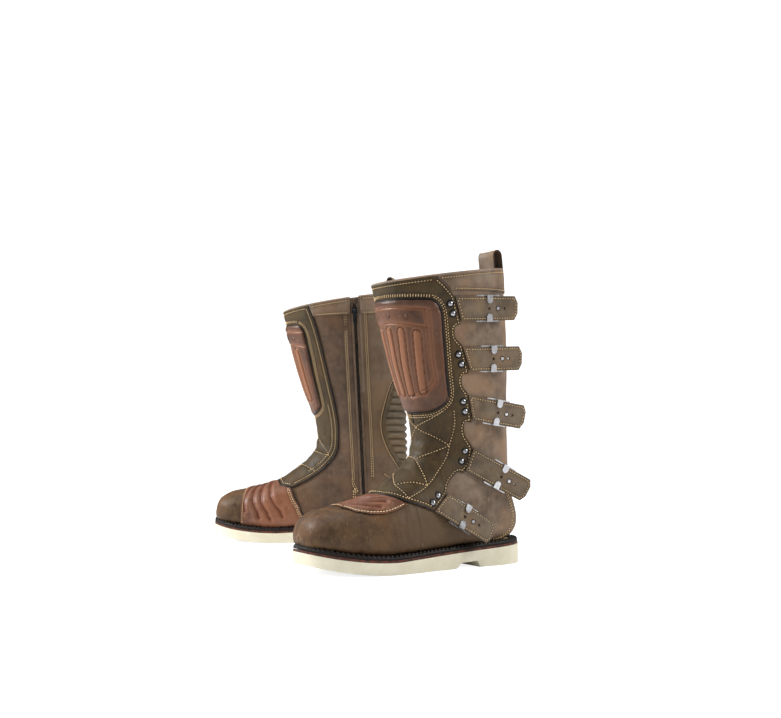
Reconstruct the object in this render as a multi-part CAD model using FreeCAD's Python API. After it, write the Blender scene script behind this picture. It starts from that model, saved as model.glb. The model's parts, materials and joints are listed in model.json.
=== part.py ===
import FreeCAD
import Part
import math
import os
from FreeCAD import Vector

# A pair of tall leather motorcycle boots: stitched layers on a welted rubber sole, five hook straps on
# the lateral side of each boot and a zip on the medial side. Units are millimetres.
#
# One boot is modelled in its own frame: x from the heel to the toe, y to the lateral side, z up from the
# ground. It is the left boot; the right one is its mirror image, turned and set beside it.
#
# The leather layers follow one form, the last with the leg. A place on the form is (u, v): u counts the
# sections from the toe (0) over the ankle (about 9) to the top rim (15), and v is the angle in degrees
# round a section, 0 on the front line, positive to the lateral side, 180 on the sole or back line.

# ---- driving dimensions ------------------------------------------------------------------------------
PAIR_CENTRE = (-20.574, -206.167)   # the pair's middle, from the left boot's mid-foot point
MID_FOOT = 150.0                   # x of that mid-foot point
RIGHT_PLACE = (-49.4, -372.5)      # the right boot's mid-foot point, from the left one's
RIGHT_YAW = -36.0                  # degrees the right boot is turned, toes away from the left boot

# u, front or top line (x, z), back or sole line (x, z), half width, side shift.
# A sole z of None is a section that stands on the insole board.
SECTIONS = [
    (0, 301.5, 44, 301.5, 43, 0.5, -7),
    (1, 298, 58, 299, 35, 20, -7),
    (2, 289, 69, 290, None, 33, -6),
    (3, 270, 76, 272, None, 42, -4),
    (4, 240, 80, 240, None, 47.5, 0),
    (5, 208, 90, 206, None, 49, 2),
    (6, 180, 107, 168, None, 45.5, 3),
    (7, 152, 131, 118, None, 40, 2),
    (8, 143, 154, 62, None, 37, 1),
    (8.6, 142.5, 169, 24, None, 36.5, 0.4),
    (9, 144, 179, 7, 40, 36.5, 0),
    (10, 150, 205, 6, 76, 39, 0),
    (11, 160, 232, 13, 125, 43, 0),
    (12, 170, 262, 16, 185, 47.5, 0),
    (13, 178.5, 293, 17, 240, 52, 0),
    (14, 187.5, 322, 20, 303, 56.5, 0),
    (15, 196, 352, 28, 378, 62, 0),
]
WIDEST = [(0, 0.5), (2, 0.45), (4, 0.38), (6, 0.35), (8, 0.42), (10, 0.5), (15, 0.5)]
SOLE_SQUARENESS = [(0, 2.0), (2, 3.2), (4, 5.0), (6, 5.0), (8, 4.0), (10, 2.4), (12, 2.15), (15, 2.15)]
FRONT_SQUARENESS = 2.1

# sole stack
SOLE_FOREFOOT = 14.5               # outsole thickness under the ball
SOLE_HEEL = 25.0                   # outsole thickness at the heel's back
SPRING_START = 200.0               # x where the toe starts to rise
TOE_SPRING = 13.0                  # rise of the toe over SPRING_LENGTH
SPRING_LENGTH = 105.0
MIDSOLE = 3.0
WELT = 4.2
WELT_WIDTH = 10.0
BOARD = (5.0, 6.3)                 # insole board's faces above the outsole
SHANK = (20.0, 110.0)              # width, length
SHANK_LAYER = (3.2, 4.8)           # its faces above the outsole
SHANK_START = 52.0
HEEL_FRONT = 78.0                  # x of the heel block's front face
WAIST_END = 112.0                  # x where the forefoot tread begins
WAIST_RISE = 8.0
HEEL_GROOVES = (18, 34, 50)        # x of the heel's tread grooves
FOREFOOT_GROOVES = (128, 290, 18)  # first x, end and spacing of the forefoot's
GROOVE = (6.5, 2.8, 1.0)           # width, depth and slope of a groove
TREAD_RIM = 8.0                    # plain rubber between the grooves and the sole's edge
# plan of the sole edge, heel to toe on the lateral side and back on the medial side
SOLE_PLAN = [
    (-6, 0), (6, 26), (30, 37), (66, 40), (112, 44), (152, 50), (194, 57), (234, 56), (266, 47),
    (290, 31), (303, 12), (307, -7), (301, -29), (288, -42), (266, -52), (234, -55.5), (194, -52),
    (152, -46), (112, -42), (66, -39.5), (30, -36.5), (6, -26),
]

# leather layers: distance of the inner and outer face from the form
LINING = (-3.0, 0.0)
FOOTBED = (-7.0, -3.3)
UPPER = (0.5, 2.4)
OVERLAY = (3.0, 4.6)
GUARD = (2.9, 4.5)
COLLAR = (2.9, 4.4)
PLATE = (5.05, 7.6)
FEATHER_GAP = 0.4                  # the upper ends this far above the welt

# panel lines, as (u, v) rows
VAMP_END = 6.0
QUARTER_START = 6.1
SIDE_SEAM = 39.0                   # v of the seam under the front wrap
SIDE_SEAM_GAP = 0.9
COLLAR_LOW = 14.6
UPPER_TOP = 14.97
GUARD_FRONT = 3.5
WRAP_LOWER = [(-57, 5.97), (-42, 5.4), (-20, 5.2), (0, 5.1), (17, 5.2), (49, 5.77), (79, 6.67)]
WRAP_MEDIAL = [(5.4, -57), (6.9, -56), (8.1, -57), (9.4, -61), (10.6, -72), (12, -74), (13.2, -71),
               (14.4, -67), (15, -63)]
WRAP_LATERAL = [(6.6, 79.5), (7.37, 73), (8.73, 72), (10.07, 84), (11.07, 89), (11.73, 87.5), (12.43, 89.5),
                (13.1, 84), (13.8, 83), (14.45, 78.5), (14.75, 71), (15, 63)]
GUARD_LATERAL = [(3.5, 17), (3.8, 37), (4.3, 49), (4.8, 55), (5.3, 56.5), (6.2, 57)]
GUARD_REAR = [(-98, 6.2), (-75, 5.95), (-57, 5.85), (-42, 5.32), (-20, 5.12), (0, 5.02), (17, 5.12),
              (49, 5.66), (60, 5.9)]
PLATE_TOP = 14.32
PLATE_MEDIAL = -52.0
PLATE_LATERAL = 65.0
PLATE_LOWER = [(-52, 10.9), (-35, 10.25), (-18, 9.85), (0, 9.65), (20, 9.8), (40, 10.25), (65, 11.2)]
FLEX_PANEL = [(10.6, 204, 206), (10.9, 188, 220), (11.6, 176, 231), (12.3, 176, 224), (13.0, 184, 212),
              (13.4, 196, 199)]    # u, v of its two edges

# straps, from the top one down: the root line's ends (u, v), the place where the strap leaves the leg
# (u, v), the tail from the clip to the tip, the gap from the root line to the strap's cut end, and the
# strap middle's distance from the form at its root and where it leaves the leg
STRAPS = [
    {"top": (14.47, 78), "bottom": (13.80, 83), "leave": (14.20, 96), "tail": 43.0, "gap": 1.4,
     "lift": (4.3, 5.9)},
    {"top": (13.10, 83), "bottom": (12.43, 90), "leave": (12.95, 99), "tail": 43.0, "gap": 1.9,
     "lift": (4.3, 5.9)},
    {"top": (11.73, 87), "bottom": (11.07, 89), "leave": (11.62, 103), "tail": 42.0, "gap": 1.5,
     "lift": (4.3, 6.5)},
    {"top": (10.07, 84), "bottom": (8.73, 72), "leave": (9.80, 96), "tail": 45.0, "gap": 5.8,
     "lift": (6.2, 7.4)},
    {"top": (7.37, 73), "bottom": (6.67, 79), "leave": (7.32, 88), "tail": 46.0, "gap": 1.8,
     "lift": (4.3, 7.1)},
]
STRAP_WIDTH = 30.0
STRAP_THICK = 2.5
STRAP_OPEN = 75.0                  # degrees a strap folds open
CLIP_BEYOND = 19.0                 # clip centre past the leaving point
TIP_CORNER = (4.8, 8.0)            # a tip corner's cut, along and across the strap
HOLES = [(0.0, 1.3), (13.0, 2.7), (22.0, 1.3)]   # distance past the clip centre, radius
SCALLOPS = [(7.45, 8.62, 6.0), (10.15, 10.98, 8.0), (11.80, 12.36, 6.5), (13.17, 13.73, 6.5)]

# strap hardware
CLIP_SHEET = 1.2
CLIP_BACK = (-18.0, 17.0)          # ends of the clip's back plate along the strap
CLIP_TAB = 8.0                     # width of a folded tab
CLIP_REACH = 9.0                   # how far a tab reaches over the strap
CLIP_WINDOW = (-9.5, -1.5, 5.2)    # ends along the strap, half width
CATCH = (-7.5, -4.5, 4.2)
PEG_RADIUS = 2.1
RIVET_RADIUS = 3.4
RIVET_HEIGHT = 1.8
RIVET_SPACING = 12.6
RIVET_BACK = 7.5                   # rivets stand this far in front of the root line
RIVET_CLEAR = 0.5                  # rivet head's base above the wrap

# zip
ZIP_TOP = (81.5, 366.0)            # (x, z) of the zip line's ends
ZIP_BOTTOM = (69.5, 66.0)
ZIP_SLOT = 5.7                     # half width of the slot between the quarters
ZIP_END_U = 8.2                    # the slot narrows to a seam below this section
HEEL_SEAM = 4.7                    # the heel seam's lateral edge, this far in front of the zip line
HEEL_SEAM_START = 0.14             # the lateral quarter's first section past the medial quarter's corner
ZIP_TAPE = (2.25, 5.2)             # inner and outer edge of a tape from the zip line
ZIP_TAPE_LAYER = (1.5, 2.3)
ZIP_COIL = (0.5, 2.75)
ZIP_COIL_LAYER = (0.9, 2.9)
ZIP_END = 6.0                      # the coils stop this far below the zip line's top
ZIP_CLEAR = 0.4                    # slider's back plate above the lining
ZIP_TRAVEL = 262.0
SLIDER = (11.0, 4.2)               # length, half width
SLIDER_PLATES = ((0.0, 0.6), (3.2, 4.6))
SLIDER_WEDGE = (0.38, 2.5, 3.4)    # half width, length, height
SLIDER_REST = 16.0                 # slider centre below the zip line's top end
BAIL_HEIGHT = 7.0
BAIL_RADIUS = 0.8
PULL_LENGTH = 20.0
PULL_WIDTH = 6.0
PULL_HALF = 0.8                    # half the tab's thickness
PULL_EYE = (2.0, 1.1)              # outer and bore radius

# pull loop at the back of the rim
LOOP_WIDTH = 38.0
LOOP_HEIGHT = 27.0
LOOP_TAIL = 13.0                   # how far its ends run down beside the collar
LOOP_THICK = 2.0
RIM_RADIUS = 60.0                  # the rim's radius at the back line
LOOP_CLEAR = 0.4                   # between the loop's ends and the collar or the lining
LOOP_CROWN = 8.0                   # height of the loop's rounded part


# ---- curves and the form -----------------------------------------------------------------------------
class Curve:
    """A natural cubic curve through rows of (parameter, value, value, ...)."""

    def __init__(self, rows):
        self.knots = [float(row[0]) for row in rows]
        self.values = [[float(x) for x in row[1:]] for row in rows]
        self.bends = [self._bend(column) for column in range(len(self.values[0]))]

    def _bend(self, column):
        """Second derivatives of one column, by elimination of the tridiagonal system."""
        n = len(self.knots)
        step = [self.knots[i + 1] - self.knots[i] for i in range(n - 1)]
        rise = [(self.values[i + 1][column] - self.values[i][column]) / step[i] for i in range(n - 1)]
        upper = [0.0] * n
        right = [0.0] * n
        for i in range(1, n - 1):
            pivot = 2 * (step[i - 1] + step[i]) - step[i - 1] * upper[i - 1]
            upper[i] = step[i] / pivot
            right[i] = (6 * (rise[i] - rise[i - 1]) - step[i - 1] * right[i - 1]) / pivot
        bend = [0.0] * n
        for i in range(n - 2, 0, -1):
            bend[i] = right[i] - upper[i] * bend[i + 1]
        return bend

    def at(self, t):
        k = 0
        while k < len(self.knots) - 2 and t > self.knots[k + 1]:
            k += 1
        h = self.knots[k + 1] - self.knots[k]
        b = (t - self.knots[k]) / h
        a = 1 - b
        low, high = self.values[k], self.values[k + 1]
        result = []
        for column, bend in enumerate(self.bends):
            curve = ((a ** 3 - a) * bend[k] + (b ** 3 - b) * bend[k + 1]) * h * h / 6
            result.append(a * low[column] + b * high[column] + curve)
        return result


def polyline(rows, t):
    """The value at t on straight lines through (parameter, value) rows."""
    if t <= rows[0][0]:
        return rows[0][1]
    for (t0, y0), (t1, y1) in zip(rows, rows[1:]):
        if t <= t1:
            return y0 + (y1 - y0) * (t - t0) / (t1 - t0)
    return rows[-1][1]


def outsole_top(x):
    slope = (SOLE_HEEL - SOLE_FOREFOOT) / SPRING_START
    rise = TOE_SPRING * (max(x - SPRING_START, 0) / SPRING_LENGTH) ** 2
    return SOLE_FOREFOOT + slope * max(SPRING_START - x, 0) + rise


def welt_top(x):
    return outsole_top(x) + MIDSOLE + WELT


def section_rows():
    for u, x_top, z_top, x_sole, z_sole, width, shift in SECTIONS:
        if z_sole is None:
            z_sole = welt_top(x_sole) + 0.5
        yield u, x_top, z_top, x_sole, z_sole, width, shift


SECTION = Curve(list(section_rows()))
WIDEST_CURVE = Curve(WIDEST)
SQUARENESS_CURVE = Curve(SOLE_SQUARENESS)


def power(value, exponent):
    return math.copysign(abs(value) ** exponent, value)


def form_point(u, v):
    x_top, z_top, x_sole, z_sole, width, shift = SECTION.at(u)
    widest = WIDEST_CURVE.at(u)[0]
    c = round(math.cos(math.radians(v)), 12)
    s = round(math.sin(math.radians(v)), 12)
    square = FRONT_SQUARENESS if c >= 0 else SQUARENESS_CURVE.at(u)[0]
    reach = (1 - widest) if c >= 0 else widest
    a = widest + reach * power(c, 2 / square)
    y = shift + max(width, 0.1) * power(s, 2 / square)
    return Vector(x_sole + (x_top - x_sole) * a, y, z_sole + (z_top - z_sole) * a)


def form_normal(u, v):
    du, dv = 0.01, 0.1
    low = max(u - du, 0.0)
    along = form_point(u + du, v) - form_point(low, v)
    round_section = form_point(u, v + dv) - form_point(u, v - dv)
    return round_section.cross(along).normalize()


def on_form(u, v, offset=0.0):
    return form_point(u, v) + form_normal(u, v) * offset


def bisect(function, low, high):
    """The zero of a function that changes sign once between low and high."""
    sign = function(low) > 0
    for _ in range(40):
        middle = (low + high) / 2
        if (function(middle) > 0) == sign:
            low = middle
        else:
            high = middle
    return (low + high) / 2


def feather(u, side, offset=UPPER[1]):
    """The angle at which a layer of the upper comes down to the welt, 180 where it never does."""
    def height(v):
        point = on_form(u, side * v, offset)
        return point.z - welt_top(point.x) - FEATHER_GAP
    if height(180) > 0:
        return 180.0
    return bisect(height, 95, 180)


# ---- building blocks ---------------------------------------------------------------------------------
def to_solid(faces):
    shell = Part.makeCompound(faces)
    shell.sewShape()
    solid = Part.makeSolid(shell.Shells[0] if shell.Shells else shell)
    if solid.Volume < 0:
        solid.reverse()
    return solid


def curve_through(points):
    """A cubic curve through points that are one unit of parameter apart."""
    curve = Part.BSplineCurve()
    curve.interpolate(Points=points, Parameters=[float(i) for i in range(len(points))])
    return curve


def surface_through(rows):
    """A cubic surface through a grid of points, evenly spaced in its parameters both ways."""
    across = [curve_through(row) for row in rows]
    along = [curve_through(list(column)) for column in zip(*[curve.getPoles() for curve in across])]
    poles = [list(row) for row in zip(*[curve.getPoles() for curve in along])]
    surface = Part.BSplineSurface()
    surface.buildFromPolesMultsKnots(poles, along[0].getMultiplicities(), across[0].getMultiplicities(),
                                     along[0].getKnots(), across[0].getKnots(), False, False, 3, 3)
    return surface


def border(surface, side):
    """One of a surface's four border curves, as an edge."""
    u0, u1, v0, v1 = surface.bounds()
    if side in ("first", "last"):
        return surface.uIso(u0 if side == "first" else u1).toShape()
    return surface.vIso(v0 if side == "left" else v1).toShape()


def panel(cells, layer):
    """A closed leather panel between two offsets of the form.

    A cell is a grid of (u, v) rows and the names of its borders that are cut edges of the leather.
    """
    faces = []
    for rows, open_sides in cells:
        inner = surface_through([[on_form(u, v, layer[0]) for u, v in row] for row in rows])
        outer = surface_through([[on_form(u, v, layer[1]) for u, v in row] for row in rows])
        faces += [inner.toShape(), outer.toShape()]
        for side in open_sides:
            faces.append(Part.makeRuledSurface(border(inner, side), border(outer, side)))
    return to_solid(faces)


ALL_SIDES = ("first", "last", "left", "right")


def steps(low, high, count):
    return [low + (high - low) * i / (count - 1) for i in range(count)]


def grid(u_values, low, high, count):
    """Rows at each u, from angle low(u) to high(u)."""
    return [[(u, v) for v in steps(low(u), high(u), count)] for u in u_values]


def between(low_border, high_border, rows, columns):
    """Rows of straight (u, v) lines between two borders, each given as a list of (u, v) points.

    The points of a border are spaced evenly along its real length.
    """
    low = evenly(low_border, rows)
    high = evenly(high_border, rows)
    return [[(u0 + (u1 - u0) * t, v0 + (v1 - v0) * t) for t in steps(0, 1, columns)]
            for (u0, v0), (u1, v1) in zip(low, high)]


def evenly(border, count):
    places = [form_point(u, v) for u, v in border]
    length = [0.0]
    for here, there in zip(places, places[1:]):
        length.append(length[-1] + (there - here).Length)
    us = [(distance, u) for distance, (u, _) in zip(length, border)]
    vs = [(distance, v) for distance, (_, v) in zip(length, border)]
    return [(polyline(us, d), polyline(vs, d)) for d in steps(0, length[-1], count)]


def stretched_grid(lower, top, low, high, rows, columns):
    """Rows from a curved lower border u = lower(v) up to u = top."""
    result = []
    for s in steps(0, 1, rows):
        row = []
        for t in steps(0, 1, columns):
            u = (lower(low(top) + (high(top) - low(top)) * t)) * (1 - s) + top * s
            for _ in range(6):
                v = low(u) + (high(u) - low(u)) * t
                u = lower(v) * (1 - s) + top * s
            row.append((u, low(u) + (high(u) - low(u)) * t))
        result.append(row)
    return result


def place(shape, origin, x_axis, y_axis, z_axis):
    """Move a shape from the plain frame into a local one."""
    matrix = FreeCAD.Matrix(x_axis.x, y_axis.x, z_axis.x, origin.x, x_axis.y, y_axis.y, z_axis.y, origin.y,
                            x_axis.z, y_axis.z, z_axis.z, origin.z, 0, 0, 0, 1)
    moved = shape.copy()
    moved.Placement = FreeCAD.Placement(matrix).multiply(moved.Placement)
    return moved


def box(x, y, z):
    """A box from three (low, high) pairs."""
    return Part.makeBox(x[1] - x[0], y[1] - y[0], z[1] - z[0], Vector(x[0], y[0], z[0]))


# ---- sole --------------------------------------------------------------------------------------------
def sole_curve(inset):
    """The sole's plan outline, moved inwards by inset."""
    base = Part.BSplineCurve()
    base.interpolate(Points=[Vector(x, y, 0) for x, y in SOLE_PLAN], PeriodicFlag=True)
    first, last = base.FirstParameter, base.LastParameter
    count = 56
    points = []
    for i in range(count):
        t = first + (last - first) * i / count
        tangent = base.tangent(t)[0]
        points.append(base.value(t) + Vector(tangent.y, -tangent.x, 0) * inset)
    curve = Part.BSplineCurve()
    curve.interpolate(Points=points, PeriodicFlag=True)
    return curve


def plan_prism(inset):
    wire = Part.Wire([sole_curve(inset).toShape()])
    return Part.Face(wire).extrude(Vector(0, 0, 80)).translate(Vector(0, 0, -5))


def layer_band(low, high):
    """The space between two heights above the outsole's top, across the whole sole."""
    xs = [-20 + 10 * i for i in range(35)]
    lower = Part.BSplineCurve()
    lower.interpolate([Vector(x, -90, outsole_top(x) + low) for x in xs])
    upper = Part.BSplineCurve()
    upper.interpolate([Vector(x, -90, outsole_top(x) + high) for x in xs])
    ends = [Part.makeLine(lower.value(t), upper.value(t)) for t in (lower.FirstParameter, lower.LastParameter)]
    wire = Part.Wire([lower.toShape(), ends[1], upper.toShape(), ends[0]])
    return Part.Face(wire).extrude(Vector(0, 180, 0))


def across_sole(points):
    """A prism over the sole's whole width from its side outline."""
    wire = Part.makePolygon([Vector(x, -90, z) for x, z in points + points[:1]])
    return Part.Face(wire).extrude(Vector(0, 180, 0))


def under_sole():
    """The space below the outsole: heel block, raised waist, forefoot and toe spring."""
    points = [(-20, -10), (-20, 6), (-2, 1.5), (6, 0), (HEEL_FRONT - 4, 0), (HEEL_FRONT, WAIST_RISE),
              (WAIST_END - 8, WAIST_RISE - 1), (WAIST_END, 0)]
    toe = SPRING_START + SPRING_LENGTH
    points += [(x, outsole_top(x) - SOLE_FOREFOOT) for x in steps(SPRING_START, toe, 9)]
    return across_sole(points + [(330, 20), (330, -10)])


def tread_grooves():
    width, depth, slope = GROOVE
    inner = plan_prism(TREAD_RIM)
    grooves = []
    for x in HEEL_GROOVES + tuple(range(*FOREFOOT_GROOVES)):
        ground = outsole_top(x) - SOLE_FOREFOOT if x > SPRING_START else 0
        outline = [(x, ground - 4), (x, ground), (x + slope, ground + depth),
                   (x + width - slope, ground + depth), (x + width, ground), (x + width, ground - 4)]
        grooves.append(across_sole(outline).common(inner))
    return grooves


def sole_parts():
    outsole = plan_prism(0).common(layer_band(-60, 0)).cut(under_sole()).cut(tread_grooves())
    midsole = plan_prism(0.8).common(layer_band(0, MIDSOLE))
    welt_band = layer_band(MIDSOLE, MIDSOLE + WELT)
    welt = plan_prism(1.4).cut(plan_prism(1.4 + WELT_WIDTH)).common(welt_band)
    board = plan_prism(2.0 + WELT_WIDTH).common(layer_band(*BOARD))
    width, length = SHANK
    strip = box((SHANK_START, SHANK_START + length), (-width / 2, width / 2), (0, 60))
    strip = strip.makeFillet(width / 2 - 0.5, [e for e in strip.Edges if is_vertical(e)])
    shank = strip.common(layer_band(*SHANK_LAYER))
    return {"outsole": outsole, "midsole": midsole, "welt": welt, "insole_board": board, "shank": shank}


def is_vertical(edge):
    direction = edge.tangentAt(edge.FirstParameter)
    return abs(direction.z) > 0.99


# ---- soft parts --------------------------------------------------------------------------------------
def lining():
    """The closed sock of lining leather: its lateral and medial halves meet on the centre lines."""
    us = [0.0, 0.3, 0.6] + steps(1, 15, 29)
    halves = [grid(us, lambda u: -180, lambda u: 0, 15), grid(us, lambda u: 0, lambda u: 180, 15)]
    return panel([(half, ("first", "last")) for half in halves], LINING)


def footbed():
    return panel([(grid(steps(1.5, 8.4, 15), lambda u: 135, lambda u: 225, 9), ALL_SIDES)], FOOTBED)


def vamp():
    medial = [(u, -min(feather(u, -1), 177)) for u in steps(0, VAMP_END, 90)]
    lateral = [(u, min(feather(u, 1), 177)) for u in steps(0, VAMP_END, 90)]
    return panel([(between(medial, lateral, 26, 31), ALL_SIDES)], UPPER)


def zip_distance(point):
    """Signed distance of a point from the zip line in the side view, positive towards the toe."""
    dx, dz = ZIP_TOP[0] - ZIP_BOTTOM[0], ZIP_TOP[1] - ZIP_BOTTOM[1]
    length = math.hypot(dx, dz)
    return ((point.x - ZIP_BOTTOM[0]) * dz - (point.z - ZIP_BOTTOM[1]) * dx) / length


def zip_edge(u, distance):
    """The medial angle (about -100) at a distance from the zip line, on section u."""
    return bisect(lambda v: zip_distance(form_point(u, v)) - distance, -150, -60)


def heel_top():
    """The section whose back line just clears the welt."""
    def height(u):
        point = on_form(u, 180, UPPER[1])
        return point.z - welt_top(point.x) - FEATHER_GAP
    return bisect(height, 8.3, 9.2)


def seam_foot():
    """The section on which the zip line, carried straight down, meets the sole."""
    def ahead(u):
        v = -feather(u, -1)
        return zip_distance(form_point(u, v)) - ZIP_SLOT
    return bisect(ahead, 7.0, 8.4)


def medial_quarter():
    """The panel in front of the zip; below the zip it meets the lateral quarter on a heel seam."""
    foot = seam_foot()
    rear = [(u, -feather(u, -1)) for u in steps(QUARTER_START, foot, 12)]
    rear += [(u, zip_edge(u, ZIP_SLOT)) for u in steps(foot, UPPER_TOP, 60)[1:]]
    front = [(u, SIDE_SEAM - SIDE_SEAM_GAP) for u in steps(QUARTER_START, UPPER_TOP, 60)]
    return panel([(between(rear, front, 44, 17), ALL_SIDES)], UPPER)


def lateral_quarter():
    """One panel from the front seam round the heel to the zip, in four cells that share borders."""
    top = heel_top()
    foot = seam_foot() + HEEL_SEAM_START
    rise = steps(top, UPPER_TOP, 22)

    def rear(u):
        return 360 + zip_edge(u, HEEL_SEAM if u < ZIP_END_U else -ZIP_SLOT)

    front = [(u, SIDE_SEAM) for u in steps(QUARTER_START, top, 40)]
    lateral_sole = [(u, feather(u, 1)) for u in steps(QUARTER_START, top, 40)]
    medial_sole = [(u, 360 - feather(u, -1)) for u in steps(foot, top, 30)]
    heel_seam = [(u, rear(u)) for u in steps(foot, top, 30)]
    cells = [
        (between(front, lateral_sole, 18, 13), ("first", "left", "right")),
        (grid(rise, lambda u: SIDE_SEAM, lambda u: 180, 13), ("last", "left")),
        (grid(rise, lambda u: 180, rear, 9), ("last", "right")),
        (between(medial_sole, heel_seam, 12, 9), ("first", "left", "right")),
    ]
    return panel(cells, UPPER)


def flex_panel():
    curve = Curve(FLEX_PANEL)
    us = steps(FLEX_PANEL[0][0], FLEX_PANEL[-1][0], 15)
    rows = grid(us, lambda u: curve.at(u)[0], lambda u: curve.at(u)[1], 9)
    return panel([(rows, ALL_SIDES)], OVERLAY)


def collar():
    """The band round the rim, in two lengths that leave the zip open."""
    us = steps(COLLAR_LOW, 15, 4)
    front = grid(us, lambda u: zip_edge(u, ZIP_SLOT + 2), lambda u: wrap_medial(u) - 1.5, 7)
    rear = grid(us, lambda u: wrap_lateral(u) + 2.0, lambda u: 360 + zip_edge(u, -ZIP_SLOT - 2), 31)
    return Part.makeCompound([panel([(rows, ALL_SIDES)], COLLAR) for rows in (front, rear)])


WRAP_MEDIAL_CURVE = Curve(WRAP_MEDIAL)
PLATE_LOWER_CURVE = Curve(PLATE_LOWER)


def wrap_medial(u):
    return WRAP_MEDIAL_CURVE.at(u)[0]


def wrap_lateral(u):
    """The wrap's lateral border: strap roots with round scallops between them."""
    v = polyline(WRAP_LATERAL, u)
    for start, end, depth in SCALLOPS:
        if start < u < end:
            across = (u - start) / (end - start)
            v -= depth * (1 - (2 * across - 1) ** 4)
    return v


def wrap_lower(v):
    return polyline(WRAP_LOWER, v)


def front_wrap():
    rows = stretched_grid(wrap_lower, 15, wrap_medial, wrap_lateral, 110, 15)
    return panel([(rows, ALL_SIDES)], OVERLAY)


def shift_guard():
    """The ridged guard over the instep and the medial side, down to the welt."""
    def medial(u):
        return -feather(u, -1, GUARD[1])

    def lateral(u):
        return polyline(GUARD_LATERAL, u)

    rows = []
    for s in steps(0, 1, 13):
        row = []
        for t in steps(0, 1, 17):
            u = GUARD_FRONT
            for _ in range(8):
                v = medial(u) * (1 - t) + lateral(u) * t
                u = GUARD_FRONT * (1 - s) + polyline(GUARD_REAR, v) * s
            row.append((u, v))
        rows.append(row)
    return panel([(rows, ALL_SIDES)], GUARD)


def shin_plate():
    def corner(u):
        """How far the rounded corners draw a side border in, in degrees."""
        top = max(0.0, 1 - (PLATE_TOP - u) / 0.45)
        return 10 * (1 - math.sqrt(1 - top * top * 0.96))

    rows = stretched_grid(lambda v: PLATE_LOWER_CURVE.at(v)[0], PLATE_TOP,
                          lambda u: PLATE_MEDIAL + corner(u), lambda u: PLATE_LATERAL - corner(u), 27, 17)
    return panel([(rows, ALL_SIDES)], PLATE)


def pull_loop():
    """A leather loop over the back of the rim, bent round the rim's own curve."""
    rim = form_point(15, 180)
    below = form_point(14.4, 180)
    up = (rim - below).normalize()
    inward = Vector(up.z, 0, -up.x)
    outer, inner = -COLLAR[1] - LOOP_CLEAR, -LINING[0] + LOOP_CLEAR
    middle = (outer + inner) / 2
    half = (inner - outer) / 2

    def at(side, height):
        return rim + inward * side + up * height

    def arch(reach, crown):
        left, right = middle - half - reach, middle + half + reach
        shoulder = LOOP_HEIGHT - LOOP_CROWN
        arc = Part.BSplineCurve()
        arc.interpolate([at(left, shoulder), at(middle - 0.7 * (half + reach), LOOP_HEIGHT - 2.4 + crown),
                         at(middle, LOOP_HEIGHT + crown), at(middle + 0.7 * (half + reach),
                         LOOP_HEIGHT - 2.4 + crown), at(right, shoulder)])
        return [Part.makeLine(at(left, -LOOP_TAIL), at(left, shoulder)), arc.toShape(),
                Part.makeLine(at(right, shoulder), at(right, -LOOP_TAIL))]

    ends = [Part.makeLine(at(middle + s * half, -LOOP_TAIL), at(middle + s * (half + LOOP_THICK), -LOOP_TAIL))
            for s in (-1, 1)]
    face = Part.Face(Part.Wire([ends[0]] + arch(LOOP_THICK, 0) + [ends[1]] + arch(0, -LOOP_THICK)[::-1]))
    axis_point = rim + inward * RIM_RADIUS
    angle = math.degrees(LOOP_WIDTH / RIM_RADIUS)
    face.rotate(axis_point, up, -angle / 2)
    return face.revolve(axis_point, up, angle)


# ---- straps and their hardware -----------------------------------------------------------------------
def strap_frame(strap):
    """The strap's root frame and its path in the plane across its width."""
    root_lift, leave_lift = strap["lift"]
    top = on_form(*strap["top"], root_lift)
    bottom = on_form(*strap["bottom"], root_lift)
    leave = on_form(*strap["leave"], leave_lift)
    centre = (top + bottom) * 0.5
    root_u = (strap["top"][0] + strap["bottom"][0]) / 2
    root_v = (strap["top"][1] + strap["bottom"][1]) / 2
    normal = form_normal(root_u, root_v)
    across = (top - bottom).normalize()
    chord = (leave - centre).normalize()
    width_axis = normal.cross(chord).normalize()
    if width_axis.z < 0:
        width_axis = width_axis * -1
    run = (chord - width_axis * chord.dot(width_axis)).normalize()
    out = width_axis.cross(run).normalize()
    if out.dot(normal) < 0:
        out = out * -1
    across = (across - out * across.dot(out)).normalize()

    def on_plane(v, offset, guess):
        """The point on the form's offset, at angle v, in the strap's middle plane."""
        u = guess
        for _ in range(12):
            here = (on_form(u, v, offset) - centre).dot(width_axis)
            slope = ((on_form(u + 0.01, v, offset) - centre).dot(width_axis) - here) / 0.01
            u -= here / slope
        return u, on_form(u, v, offset)

    path = []
    guess = root_u
    first, last = root_v - 10, strap["leave"][1]
    for v in steps(first, last, 12):
        ratio = min(max((v - root_v) / (last - root_v), 0), 1)
        offset = root_lift + (leave_lift - root_lift) * ratio
        guess, point = on_plane(v, offset, guess)
        path.append(((point - centre).dot(run), (point - centre).dot(out)))
    root_height = polyline(path, 0)
    return {"centre": centre + out * root_height, "run": run, "out": out, "width": width_axis,
            "across": across, "path": [(a, b - root_height) for a, b in path]}


def clip_place(strap, frame):
    """Clip centre and the directions along, across and out of the strap there."""
    (a0, b0), (a1, b1) = frame["path"][-2:]
    length = math.hypot(a1 - a0, b1 - b0)
    run, out = (a1 - a0) / length, (b1 - b0) / length
    along = frame["run"] * run + frame["out"] * out
    outward = frame["out"] * run - frame["run"] * out
    leave = frame["centre"] + frame["run"] * a1 + frame["out"] * b1
    width = outward.cross(along)
    return leave + along * CLIP_BEYOND, along, width, outward


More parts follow.
